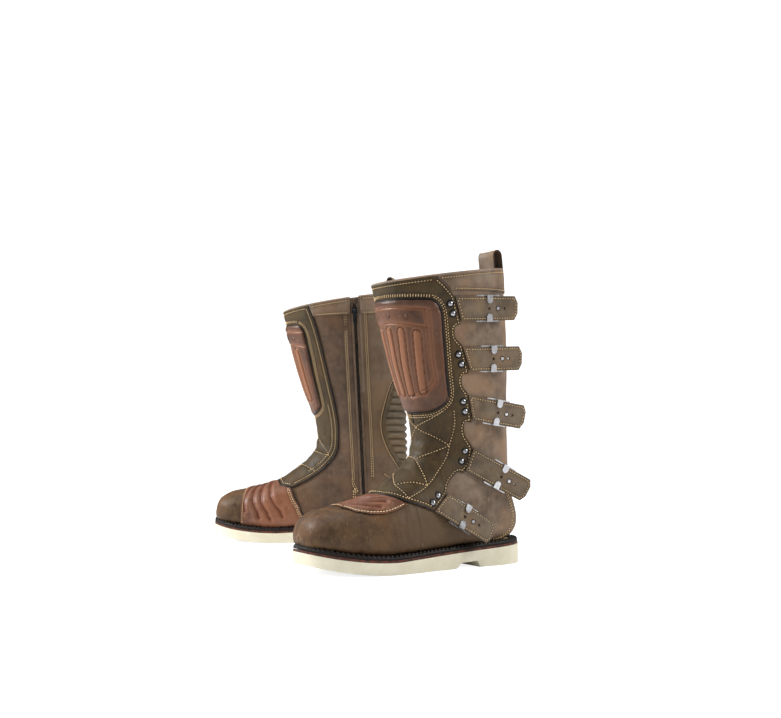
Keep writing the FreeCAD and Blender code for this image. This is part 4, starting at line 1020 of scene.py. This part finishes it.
def shin_plate(outline):
    """A moulded plate: lip and studded band at the top, five round-ended ribs, and a double frame line."""
    def corner(u):
        top = np.clip(1 - (PLATE_TOP - u) / 0.45, 0, 1)
        return 10 * (1 - np.sqrt(1 - top * top * 0.96))

    grid = stretched(plate_lower, PLATE_TOP, lambda u: PLATE_MEDIAL + corner(u),
                     lambda u: PLATE_LATERAL - corner(u), 300, 200)
    ribs = [line([(13.1, top), (12.0, (top + low) / 2), (end, low)]) for top, low, end in (
        (-32, -34, 10.95), (-14, -18, 10.72), (4, -1, 10.6), (22, 16, 10.67), (40, 36, 11.0))]
    frame_lines = [line([(14.02, a), (13.2, a), (12.0, a), (11.55, a - 1), (11.2, a - 9), (10.75, a - 24),
                         (10.45, a - 38)], smooth=True) for a in (54.5, 50.5)]
    band = [line([(u, -50), (u, 0), (u, 51)]) for u in (14.05, 13.42)]
    studs = np.array([(13.73, v) for v in (-34, -12, 10, 32)])
    stud_points = skin(*studs.T, PLATE)
    rib_width, groove_away, groove_wide = 4.2, 5.3, 1.15

    def relief(points, u, v):
        bevel = -1.9 * np.clip(1 - gap_to(points, [outline], PLATE) / 3.6, 0, 1) ** 1.6
        rib = gap_to(points, ribs, PLATE)
        bar = (0.9 * np.sqrt(np.clip(1 - (rib / rib_width) ** 2, 0, 1))
               - 1.2 * bump(rib - groove_away, groove_wide))
        lines, bands = gap_to(points, frame_lines, PLATE), gap_to(points, band, PLATE)
        inside = np.clip((u - 13.42) / 0.05, 0, 1) * np.clip((14.05 - u) / 0.05, 0, 1)
        crown = 0.55 * inside * np.sin(np.clip((u - 13.42) / 0.63, 0, 1) * math.pi) ** 0.5
        stud = np.linalg.norm(points[:, None] - stud_points[None], axis=-1).min(1)
        dome = 0.7 * np.sqrt(np.clip(1 - (stud / 2.3) ** 2, 0, 1)) - 0.4 * bump(stud - 3.0, 0.8)
        rise = bevel + bar - 0.9 * bump(lines, 1.15) - 0.9 * bump(bands, 1.1) + crown + dome
        tint = np.maximum(1.2 - np.maximum(rib - 4, 0) / 5, bump(np.minimum(lines, bands), 2.4))
        # painted shade in the grooves beside the ribs, along the frame lines and bands, and round the studs
        dark = np.clip(0.8 * bump(rib - groove_away, 1.2) + 0.5 * bump(lines, 1.1) + 0.55 * bump(bands, 1.1)
                       + 0.5 * bump(stud - 3.0, 0.8), 0, 1)
        return rise, np.clip(tint, 0, 1), dark

    leather_panel("shin_plate_moulding", "shin_plate", "plate edge", "guard_leather", [grid], PLATE, 2.6,
                  relief, [], [outline], noise=(0.12, 30, 81), puff=0.2, bevel=0.7)


def shift_guard():
    """The instep guard: ridges between four curved grooves, down to the welt on the medial side."""
    s, t = np.meshgrid(steps(0, 1, 130), steps(0, 1, 180), indexing="ij")
    every_u = steps(GUARD_FRONT - 0.1, 6.4, 60)
    sole = -feather(every_u, -1, GUARD)
    u = np.full_like(s, GUARD_FRONT)
    for _ in range(14):
        v = np.interp(u, every_u, sole) * (1 - t) + polyline(GUARD_LATERAL, u) * t
        u = GUARD_FRONT * (1 - s) + polyline(GUARD_REAR, v) * s
    borders = sides_of(u, v)
    front, lateral, rear_side, _ = borders
    rows = [trim(inset(front, 2.6, 4), 3, 2), trim(inset(lateral, 2.6, 4), 2, 3)]
    rear = inset(rear_side, 2.8, 4)
    rear = rear[rear[:, 1] < -55]
    rear2 = inset(rear, 2.6, 3)
    grooves = [line(g, smooth=True) for g in (
        [(3.7, -88), (3.62, -65), (3.68, -43), (3.78, -15), (3.95, 10), (4.35, 30), (4.75, 42)],
        [(4.35, -93), (4.08, -70), (4.02, -40), (4.1, -12), (4.32, 10), (4.7, 26), (5.05, 36)],
        [(4.85, -95), (4.47, -72), (4.38, -40), (4.43, -12), (4.62, 8), (4.95, 22), (5.2, 30)],
        [(5.4, -93), (4.98, -72), (4.8, -40), (4.8, -12), (4.92, 6), (5.08, 16)])]

    def relief(points, u, v):
        near = gap_to(points, grooves, GUARD)
        free = np.clip((gap_to(points, borders, GUARD) - 2.5) / 5, 0, 1)
        ridge = 1.6 * bump(near - 6.5, 3.6) - 1.3 * bump(near, 2.2)
        # the second colour and the darkness along the grooves are painted shade
        return ridge * free, np.clip(0.7 * bump(near, 2.8), 0, 1), 0.45 * bump(near, 1.6) * free

    leather_panel("shift_guard_leather", "shift_guard", "guard edge", "guard_leather", [(u, v)], GUARD, 2.0,
                  relief, rows + [rear, rear2], borders, noise=(0.2, 26, 91), puff=0.3, bevel=0.6)
    sew_line(rows[0], GUARD - 0.45)
    sew_line(rows[1], GUARD - 0.35, "light", pitch=3.8, size=(1.5, 0.62))
    sew_line(rear, GUARD - 0.4, "light", pitch=3.6, size=(1.35, 0.5))
    sew_line(rear2, GUARD - 0.4)
    piping = rear_side[rear_side[:, 1] < -54]
    cord("guard_piping", inset(piping, -0.9, 4), UPPER + 1.0, 1.2, "guard_leather")


# ---- straps ----------------------------------------------------------------------------------------------
# The root's ends and the place where a strap leaves the form, the tail beyond the clip, and the height of the
# strap's middle at the root and where it leaves.
STRAPS = [
    {"top": (14.47, 78), "bottom": (13.80, 83), "leave": (14.20, 96), "tail": 43.0, "lift": (4.3, 5.9)},
    {"top": (13.10, 83), "bottom": (12.43, 90), "leave": (12.95, 99), "tail": 43.0, "lift": (4.3, 5.9)},
    {"top": (11.73, 87), "bottom": (11.07, 89), "leave": (11.62, 103), "tail": 42.0, "lift": (4.3, 6.5)},
    {"top": (10.07, 84), "bottom": (8.73, 72), "leave": (9.80, 96), "tail": 45.0, "lift": (6.2, 7.4)},
    {"top": (7.37, 73), "bottom": (6.67, 79), "leave": (7.32, 88), "tail": 46.0, "lift": (4.3, 7.1)},
]
STRAP_WIDTH, STRAP_THICK = 30.0, 2.5
STRAP_GAP, CLIP_BEYOND = 1.2, 19.0                  # root to wrap, and the leaving place to the clip's peg
TIP_CORNER, TIP_SLOPE = 8.0, 0.6
HOLES = [(0.0, 1.5), (13.0, 2.9), (22.0, 1.5)]      # distance along the tail, and radius
RIVET_SPACING, RIVET_BACK = 12.6, 7.5
STITCH_IN = 2.8                                     # the strap's stitch row, from its edge
FOLD = 9.0                                          # length past a strap's root that its entry in blends spans


def strap_frame(strap):
    """A strap's root place and directions, and its path over the form in the plane of run and out."""
    root_lift, leave_lift = strap["lift"]
    top, bottom = skin(*strap["top"], root_lift), skin(*strap["bottom"], root_lift)
    leave = skin(*strap["leave"], leave_lift)
    centre = (top + bottom) / 2
    root_u = (strap["top"][0] + strap["bottom"][0]) / 2
    root_v = (strap["top"][1] + strap["bottom"][1]) / 2
    facing = normal(root_u, root_v)
    chord = unit(leave - centre)
    width = unit(np.cross(facing, chord))
    width = -width if width[2] < 0 else width
    run = unit(chord - width * (chord @ width))
    out = unit(np.cross(width, run))
    out = -out if out @ facing < 0 else out
    across = unit(top - bottom)
    across = unit(across - out * (across @ out))
    path, u = [], root_u
    for v in steps(root_v - 10, strap["leave"][1], 24):
        ratio = min(max((v - root_v) / (strap["leave"][1] - root_v), 0), 1)
        offset = root_lift + (leave_lift - root_lift) * ratio
        for _ in range(12):
            here = (skin(u, v, offset) - centre) @ width
            slope = ((skin(u + 0.01, v, offset) - centre) @ width - here) / 0.01
            u = u - here / slope
        point = skin(u, v, offset) - centre
        path.append((point @ run, point @ out))
    path = np.array(path)
    root = np.interp(0, path[:, 0], path[:, 1])
    path[:, 1] -= root
    return {"centre": centre + out * root, "run": run, "out": out, "width": width, "across": across,
            "path": path}


def clip_place(f):
    """The clip's peg: its place, the strap's direction there, and the way out of the strap."""
    (a0, b0), (a1, b1) = f["path"][-2:]
    size = math.hypot(a1 - a0, b1 - b0)
    along = f["run"] * ((a1 - a0) / size) + f["out"] * ((b1 - b0) / size)
    outward = f["out"] * ((a1 - a0) / size) - f["run"] * ((b1 - b0) / size)
    leave = f["centre"] + f["run"] * a1 + f["out"] * b1
    return leave + along * CLIP_BEYOND, along, outward


def strap_piece(number, strap):
    """A stitched strap with clipped tip corners and three holes, bending at its root. Returns its frame."""
    f = strap_frame(strap)
    clip, along, outward = clip_place(f)
    path = f["path"][f["path"][:, 0] > -8]
    curve = f["centre"] + path[:, :1] * f["run"] + path[:, 1:] * f["out"]
    tip = clip + along * strap["tail"]
    middle = resample(np.concatenate([curve, resample(np.stack([curve[-1] + along * 2, tip]), 6)]), 1.0)
    run_length = arc(middle)
    at_root = float(np.interp(0, (middle - f["centre"]) @ f["run"], run_length))
    slant = float((f["across"] @ f["run"]) / (f["across"] @ f["width"]))
    half, face = STRAP_WIDTH / 2, STRAP_THICK / 2
    body = "strap_%d" % number

    def spot(s, w, height=0.0):
        """A point of the strap at length s, distance w across it and height above its middle."""
        way = unit(at_length(middle, run_length, s + 1.0) - at_length(middle, run_length, s - 1.0))
        out = unit(np.cross(f["width"], way) * np.sign(np.cross(f["width"], f["run"]) @ f["out"]))
        return at_length(middle, run_length, s) + f["width"] * w[..., None] + out * height, out

    def start(w):
        return at_root + STRAP_GAP + w * slant

    def end(w):
        return run_length[-1] - TIP_SLOPE * np.maximum(np.abs(w) - (half - TIP_CORNER), 0) - 0.02

    t, w = np.meshgrid(steps(0, 1, int((run_length[-1] - at_root) / 1.5)), steps(-half, half, 25),
                       indexing="ij")
    s = start(w) + (end(w) - start(w)) * t
    points, out = spot(s, w, face)
    margin = np.minimum(np.minimum(half - np.abs(w), s - start(w)), end(w) - s)
    rise = (0.18 * waves(200 + number, 18)(points.reshape(-1, 3)).reshape(w.shape)
            - 0.32 * bump(margin - STITCH_IN, 1.1)
            + 0.3 * (1 - np.exp(-np.maximum(margin - STITCH_IN, 0) / 3)) - 0.15)
    surface = (points + out * rise[..., None]).reshape(-1, 3)
    forward = unit(f["run"] - f["across"] * (f["run"] @ f["across"]))
    begin = f["centre"] + f["run"] * STRAP_GAP
    blends[body] = ("boot", body, begin, begin + forward * FOLD)
    quads = grid_quads(*w.shape)
    centres, gone = surface[quads].mean(1), np.zeros(len(quads), bool)
    holes = [(clip + away * along, radius) for away, radius in HOLES]
    for hole, radius in holes:
        gone |= np.linalg.norm(centres - hole - outward * face, axis=1) < radius * 0.75
    piece(body + "_leather", surface, wound(quads[~gone], surface, f["out"]), body, "strap edge",
          "strap_leather", body, STRAP_THICK, 0.7,
          {"seam": np.exp(-np.abs(margin - STITCH_IN) / 1.6), "edge": np.exp(-margin / 2.2)}, blends[body])
    inner = half - STITCH_IN
    for side in (-1, 1):
        w_row = np.full(120, side * inner)
        s_row = steps(start(side * inner) + 3.0, end(side * inner) - 3.0, 120)
        sew(body, "tan", *spot(s_row, w_row, face - SUNK), pitch=3.6, size=(1.0, 0.52))
    w_root, w_tip = steps(-inner + 1, inner - 1, 60), steps(-inner, inner, 60)
    for s_row, w_row in ((start(w_root) + 3.0, w_root), (end(w_tip) - 3.0, w_tip)):
        sew(body, "tan", *spot(s_row, w_row, face - SUNK), pitch=3.4, size=(0.95, 0.52))
    # rims pressed round the holes
    rims, faces, around, sides = [], [], 24, 8
    width, angle = np.cross(outward, along), steps(0, 2 * math.pi, around + 1)
    for i, (hole, radius) in enumerate(holes):
        ring = (hole + outward * (face + 0.12)
                + (np.cos(angle)[:, None] * along + np.sin(angle)[:, None] * width) * (radius + 0.15))
        rims.append(tube(ring, np.repeat(outward[None], around + 1, 0), 0.42, sides, 0.8)[0][:-1])
        faces.append(ring_quads(around, sides, i * around * sides))
    piece(body + "_hole_rims", np.concatenate(rims), np.concatenate(faces), body, "edge", "strap_leather")
    return f


def rivet_shade_rings(frames):
    """A black ring round each rivet head: painted shade of the recess round the rivet."""
    rings, faces, around = [], [], 30
    profile = [(3.2, 0.0), (3.6, 0.32), (4.3, 0.5), (5.0, 0.3), (5.4, -0.4), (3.2, -0.4)]     # radius, height
    for strap, f in zip(STRAPS, frames):
        for side in (-1, 1):
            target = f["centre"] + f["across"] * (side * RIVET_SPACING / 2) - f["run"] * RIVET_BACK
            u, v = locate(target, *strap["top"])
            out = normal(u, v)
            x_axis = unit(np.cross(f["across"], out))
            angle = steps(0, 2 * math.pi, around + 1)[:-1, None]
            turned = np.cos(angle) * x_axis + np.sin(angle) * np.cross(out, x_axis)
            base = skin(u, v, OVERLAY)
            faces.append(ring_quads(around, len(profile), len(rings) * around * len(profile)))
            rings.append(np.stack([base + turned * r + out * h for r, h in profile], 1))
    piece("rivet_shade_rings", np.concatenate(rings), np.concatenate(faces), "boot", "piping", "wrap_leather")


# ---- zip, loop, welt -------------------------------------------------------------------------------------
def zip_frame():
    """The zip's straight line: its foot, length and directions, just above the form."""
    def face(x, z):
        u, v = locate(np.array([x, -60.0, z]), 8.4 + (z - 66) / 46, -101.0)
        for _ in range(60):
            point = form(u, v)
            v = v - (point[0] - x) * 0.9
            u = u + (z - form(u, v)[2]) / 60
        return form(u, v), normal(u, v)

    top, bottom = face(*ZIP_TOP)[0], face(*ZIP_BOTTOM)[0]
    _, facing = face((ZIP_TOP[0] + ZIP_BOTTOM[0]) / 2, (ZIP_TOP[1] + ZIP_BOTTOM[1]) / 2)
    up = unit(top - bottom)
    across = unit(np.cross(up, facing))
    across = -across if across[0] < 0 else across
    out = unit(np.cross(across, up))
    out = -out if out @ facing < 0 else out
    highest = 0.0
    for share in steps(0, 1, 25):
        point, _ = face(ZIP_BOTTOM[0] + (ZIP_TOP[0] - ZIP_BOTTOM[0]) * share,
                        ZIP_BOTTOM[1] + (ZIP_TOP[1] - ZIP_BOTTOM[1]) * share)
        highest = max(highest, (point - bottom) @ out)
    return {"foot": bottom + out * (highest + 0.4), "up": up, "across": across, "out": out,
            "length": float(np.linalg.norm(top - bottom))}


def zip_parts():
    z = zip_frame()
    length, pitch = z["length"] - 6, 1.9

    def place(x, y, h):
        return (z["foot"] + np.asarray(x)[..., None] * z["across"] + np.asarray(y)[..., None] * z["up"]
                + np.asarray(h)[..., None] * z["out"])

    # the coils: a small nylon tooth every pitch, set alternately from both tapes
    teeth, quads, caps, sides = [], [], [], 8
    angle = circle(sides)
    profile = [(0.3, 0.35), (0.45, 0.75), (0.8, 1.0), (1.6, 0.9), (2.3, 0.6), (2.5, 0.25)]    # across, radius
    last = (len(profile) - 1) * sides + np.arange(sides)
    for side in (-1, 1):
        for y in np.arange(1, length - 1, pitch) + (pitch / 2 if side > 0 else 0):
            first = len(teeth) * len(profile) * sides
            teeth.append(np.concatenate([
                place(side * x + 0 * angle, y + 0.78 * r * np.cos(angle), 1.95 + 0.95 * r * np.sin(angle))
                for x, r in profile]))
            quad = ring_quads(len(profile), sides, first, False)
            cap = first + np.stack([np.arange(sides), last[::-1]])
            quads.append(quad if side < 0 else quad[:, ::-1])
            caps.append(cap if side < 0 else cap[:, ::-1])
    piece("zip_coils", np.concatenate(teeth), [np.concatenate(quads), np.concatenate(caps)], "boot", "coil",
          "zip_black", "zip_chain")
    near, far, count = 2.0, 5.3, 160
    tapes, quads = [], []
    for side in (-1, 1):
        x, y = np.meshgrid(steps(near, far, 6) * side, steps(0, length, count), indexing="ij")
        first = sum(len(tape) for tape in tapes)
        tapes.append(place(x, y, 2.3 - 0.35 * ((np.abs(x) - near) / (far - near)) ** 2).reshape(-1, 3))
        quads.append(wound(grid_quads(*x.shape), tapes[-1], z["out"]) + first)
    piece("zip_tapes", np.concatenate(tapes), np.concatenate(quads), "boot", "tape", "zip_black", thick=0.7)
    # backing cloth between the lining and the quarters' edges
    us = steps(ZIP_END_U + 0.25, RIM - 0.02, 150)
    u, v = rows_between(us, lambda u: zip_edge(u, -ZIP_SLOT - 3.5), lambda u: zip_edge(u, ZIP_SLOT + 3.5), 12)
    piece("zip_backing", skin(u, v, 0.34), grid_quads(*u.shape), "boot", "tape", "zip_black", thick=0.3)


LOOP_WIDTH, LOOP_HEIGHT, LOOP_TAIL, LOOP_THICK, RIM_RADIUS = 38.0, 27.0, 13.0, 2.0, 60.0


def pull_loop():
    rim, below = form(15.0, 180.0), form(14.4, 180.0)
    up = unit(rim - below)
    inward = np.array([up[2], 0, -up[0]])
    outer, inner = -COLLAR - 0.4, 3.4
    middle, half = (outer + inner) / 2, (inner - outer) / 2 + LOOP_THICK
    shoulder = LOOP_HEIGHT - 8
    crown = [(middle - half * math.cos(a), shoulder + (LOOP_HEIGHT - shoulder) * math.sin(a))
             for a in steps(0, math.pi, 40)]
    path = resample(np.array([(middle - half, h) for h in steps(-LOOP_TAIL, shoulder, 30)[:-1]] + crown
                             + [(middle + half, h) for h in steps(shoulder, -LOOP_TAIL, 30)[1:]]), 1.1)
    turn, columns = math.degrees(LOOP_WIDTH / RIM_RADIUS), 40
    angles = np.radians(steps(-turn / 2, turn / 2, columns))
    cross_axis = np.cross(up, inward)
    reach = path[:, :1] - RIM_RADIUS
    sway = 0.8 * np.cos(angles * 1.9) * np.clip(path[:, 1:] / LOOP_HEIGHT, 0, 1) ** 2
    points = (rim + inward * RIM_RADIUS + (reach * np.cos(angles))[..., None] * inward
              + (reach * np.sin(angles))[..., None] * cross_axis + (path[:, 1:] - 0.6 + sway)[..., None] * up)
    rough = waves(301, 15)(points.reshape(-1, 3)).reshape(points.shape[:2])
    column = np.arange(columns)
    edge = np.exp(-np.repeat(np.minimum(column, column[::-1])[None], len(path), 0) / 2.0)
    bulge = unit(points - (rim + inward * middle + up * 4)) * (0.15 * rough)[..., None]
    piece("pull_loop_leather", points + bulge, wound(grid_quads(len(path), columns), points, -inward), "boot",
          "upper edge", "upper_leather", "pull_loop", LOOP_THICK, 0.5, {"edge": edge})
    out = -np.cos(angles)[:, None] * inward - np.sin(angles)[:, None] * cross_axis
    for height in (-10.5, -6.5):
        i = int(np.argmin(np.abs(path[:40, 1] - height)))
        sew("boot", "tan", points[i, 3:-3] + out[3:-3] * 0.1, out[3:-3], pitch=3.2, size=(1.3, 0.5))
    for j in (3, -4):
        sew("boot", "tan", points[:44, j], np.repeat(out[j][None], 44, 0), pitch=3.4, size=(1.3, 0.5))


def closed_spline(points, samples):
    """A periodic cubic curve through points, spaced by chord length."""
    p = np.array(points, float)
    n = len(p)
    h = np.linalg.norm(np.roll(p, -1, 0) - p, axis=1)
    matrix, right = np.zeros((n, n)), np.zeros((n, 2))
    for i in range(n):
        before, after = (i - 1) % n, (i + 1) % n
        matrix[i, before] += h[before]
        matrix[i, i] += 2 * (h[before] + h[i])
        matrix[i, after] += h[i]
        right[i] = 6 * ((p[after] - p[i]) / h[i] - (p[i] - p[before]) / h[before])
    bend = np.linalg.solve(matrix, right)
    made = []
    for i in range(n):
        after = (i + 1) % n
        b = np.linspace(0, 1, samples, endpoint=False)[:, None]
        a = 1 - b
        made.append(a * p[i] + b * p[after]
                    + ((a ** 3 - a) * bend[i] + (b ** 3 - b) * bend[after]) * h[i] ** 2 / 6)
    return np.concatenate(made)


def welt():
    """The stitched welt round the sole's edge, lumpy where each stitch pulls it in."""
    spacing, stitch = 1.2, 6.1
    outline = closed_spline(SOLE_PLAN, 30)
    outline = resample(np.concatenate([outline, outline[:1]]), spacing)[:-1]
    way = unit(np.roll(outline, -1, 0) - np.roll(outline, 1, 0))
    inward = np.stack([way[:, 1], -way[:, 0]], -1)
    if (outline + inward * 5)[:, 0].max() > outline[:, 0].max():
        inward = -inward
    length = np.arange(len(outline)) * spacing
    lump = 0.5 + 0.5 * np.cos(2 * math.pi * length / stitch)
    lump = lump + 0.35 * waves(401, 9)(np.column_stack([outline, 0 * length]))
    profile = [(1.9, 0.0), (1.25, 0.5), (1.05, 1.5), (1.1, 2.6), (1.6, 3.6), (2.6, 4.25), (3.6, 4.1),
               (4.4, 3.7), (5.2, 4.1), (6.4, 4.35), (8.6, 4.3), (11.0, 4.2), (11.2, 0.0)]
    base = outsole_top(outline[:, 0]) + MIDSOLE
    block = []
    for away, height in profile:
        shift = np.where(1.2 < away < 5.5, 0.9 * (lump - 0.4), 0)
        xy = outline + inward * (away - 0.25 * shift)[:, None]
        block.append(np.column_stack([xy, base + height + shift * (height > 2)]))
    block = np.stack(block, 1)
    quads = wound(ring_quads(*block.shape[:2]), block, -np.append(inward[0], 0))
    piece("welt_strip", block, quads, "boot", "welt", "welt", "welt", marks={})
    middle = np.column_stack([outline + inward * 4.3, base + 4.05])
    middle = np.concatenate([middle, middle[:1]])
    sew("boot", "dark", middle, np.repeat([[0, 0, 1.0]], len(middle), 0), pitch=stitch, size=(2.3, 1.25))


# ---- kept CAD nodes --------------------------------------------------------------------------------------
def dress_cad():
    """Materials and rounded edges for the CAD nodes that stay: material, and the rounding in millimetres."""
    finish = {"outsole": ("rubber", 0.5), "midsole": ("midsole", 0.3), "insole_board": ("board", 0),
              "shank": ("steel", 0), "rivets_and_catches": ("rivet", 0.15), "zip_slider": ("zip_metal", 0.2),
              "zip_pull": ("zip_metal", 0.2)}
    finish.update({"strap_clip_%d" % i: ("steel", 0.22) for i in range(1, 6)})
    for side in SIDES:
        for node, (material, width) in finish.items():
            obj = frame["nodes"][side + "_" + node]
            obj.data.materials.clear()
            obj.data.materials.append(MATERIAL[material])
            if width:
                merge = obj.modifiers.new("Weld", "WELD")
                merge.merge_threshold = 0.00001
                round_edges(obj, width, 35)


LAMPS = [      # name, place, size in metres, watts
    ("left", (1.5, -0.8, 1.25), 0.8, 50), ("right", (-1.3, 1.1, 1.2), 0.8, 24),
    ("front", (1.2, 1.9, 1.1), 1.4, 2.5), ("top", (0.1, -0.2, 2.1), 0.9, 13),
]
AIM = Vector((0, 0, 0.18))
FLOOR_GLOW, SKY_LIGHT, SKY_SEEN = 0.82, 0.22, 1.2      # the floor's glow and the backdrop are for the camera


def aim(thing, way):
    thing.rotation_euler = way.to_track_quat("-Z", "Y").to_euler()


def stage():
    """A pale floor and backdrop, and soft lamps round the boots."""
    bpy.ops.mesh.primitive_circle_add(vertices=96, radius=14, fill_type="NGON")
    floor = bpy.context.object
    floor.name = "floor"
    floor.location = (0, 0, -0.0004)
    n = Nodes("pale_floor")
    n.put(n.shader, Base_Color=(0.9, 0.9, 0.9, 1), Roughness=0.75, Specular_IOR_Level=0.0,
          Emission_Color=(1, 1, 1, 1), Emission_Strength=n.math(
              "MULTIPLY", n.new("ShaderNodeLightPath").outputs["Is Camera Ray"], FLOOR_GLOW))
    floor.data.materials.append(n.material)
    world = bpy.data.worlds.new("studio")
    bpy.context.scene.world = world
    world.use_nodes = True
    nodes, links = world.node_tree.nodes, world.node_tree.links
    seen = nodes.new("ShaderNodeLightPath").outputs["Is Camera Ray"]
    strength = nodes.new("ShaderNodeMapRange")
    for index, value in enumerate((0.0, 1.0, SKY_LIGHT, SKY_SEEN), 1):
        strength.inputs[index].default_value = value
    links.new(seen, strength.inputs[0])
    links.new(strength.outputs[0], nodes["Background"].inputs[1])
    nodes["Background"].inputs[0].default_value = (1, 1, 1, 1)
    for name, place, size, power in LAMPS:
        data = bpy.data.lights.new(name, "AREA")
        data.size, data.energy = size, power
        lamp = bpy.data.objects.new(name, data)
        bpy.context.scene.collection.objects.link(lamp)
        lamp.location = place
        aim(lamp, AIM - Vector(place))


def camera():
    """The camera stands in front of the left boot, at shin height, looking level."""
    azimuth, away, height = math.radians(31), 1.433, 0.177
    mid_foot = to_row([150.0, 0, 0], "left")
    data = bpy.data.cameras.new("camera")
    cam = bpy.data.objects.new("camera", data)
    bpy.context.scene.collection.objects.link(cam)
    way = Vector((math.sin(azimuth), math.cos(azimuth), 0))
    cam.location = Vector((mid_foot[0], mid_foot[1], height)) + way * away
    aim(cam, -way)
    data.sensor_width, data.lens = 36.0, 52.73
    data.shift_x, data.shift_y = -0.0275, 0.0858
    data.clip_start, data.clip_end = 0.05, 60
    bpy.context.scene.camera = cam
    bpy.context.scene.view_settings.view_transform = "Standard"


blends = {}
vamp()
foot = seam_foot()
medial_quarter(foot)
lateral_quarter(foot)
lining_and_footbed()
flex_panel()
collar()
outline = plate_outline()
front_wrap(outline)
plate_gap_shadow_band(outline)
shin_plate(outline)
shift_guard()
rivet_shade_rings([strap_piece(number, strap) for number, strap in enumerate(STRAPS, 1)])
zip_parts()
pull_loop()
welt()
finish_threads()
dress_cad()
stage()
camera()
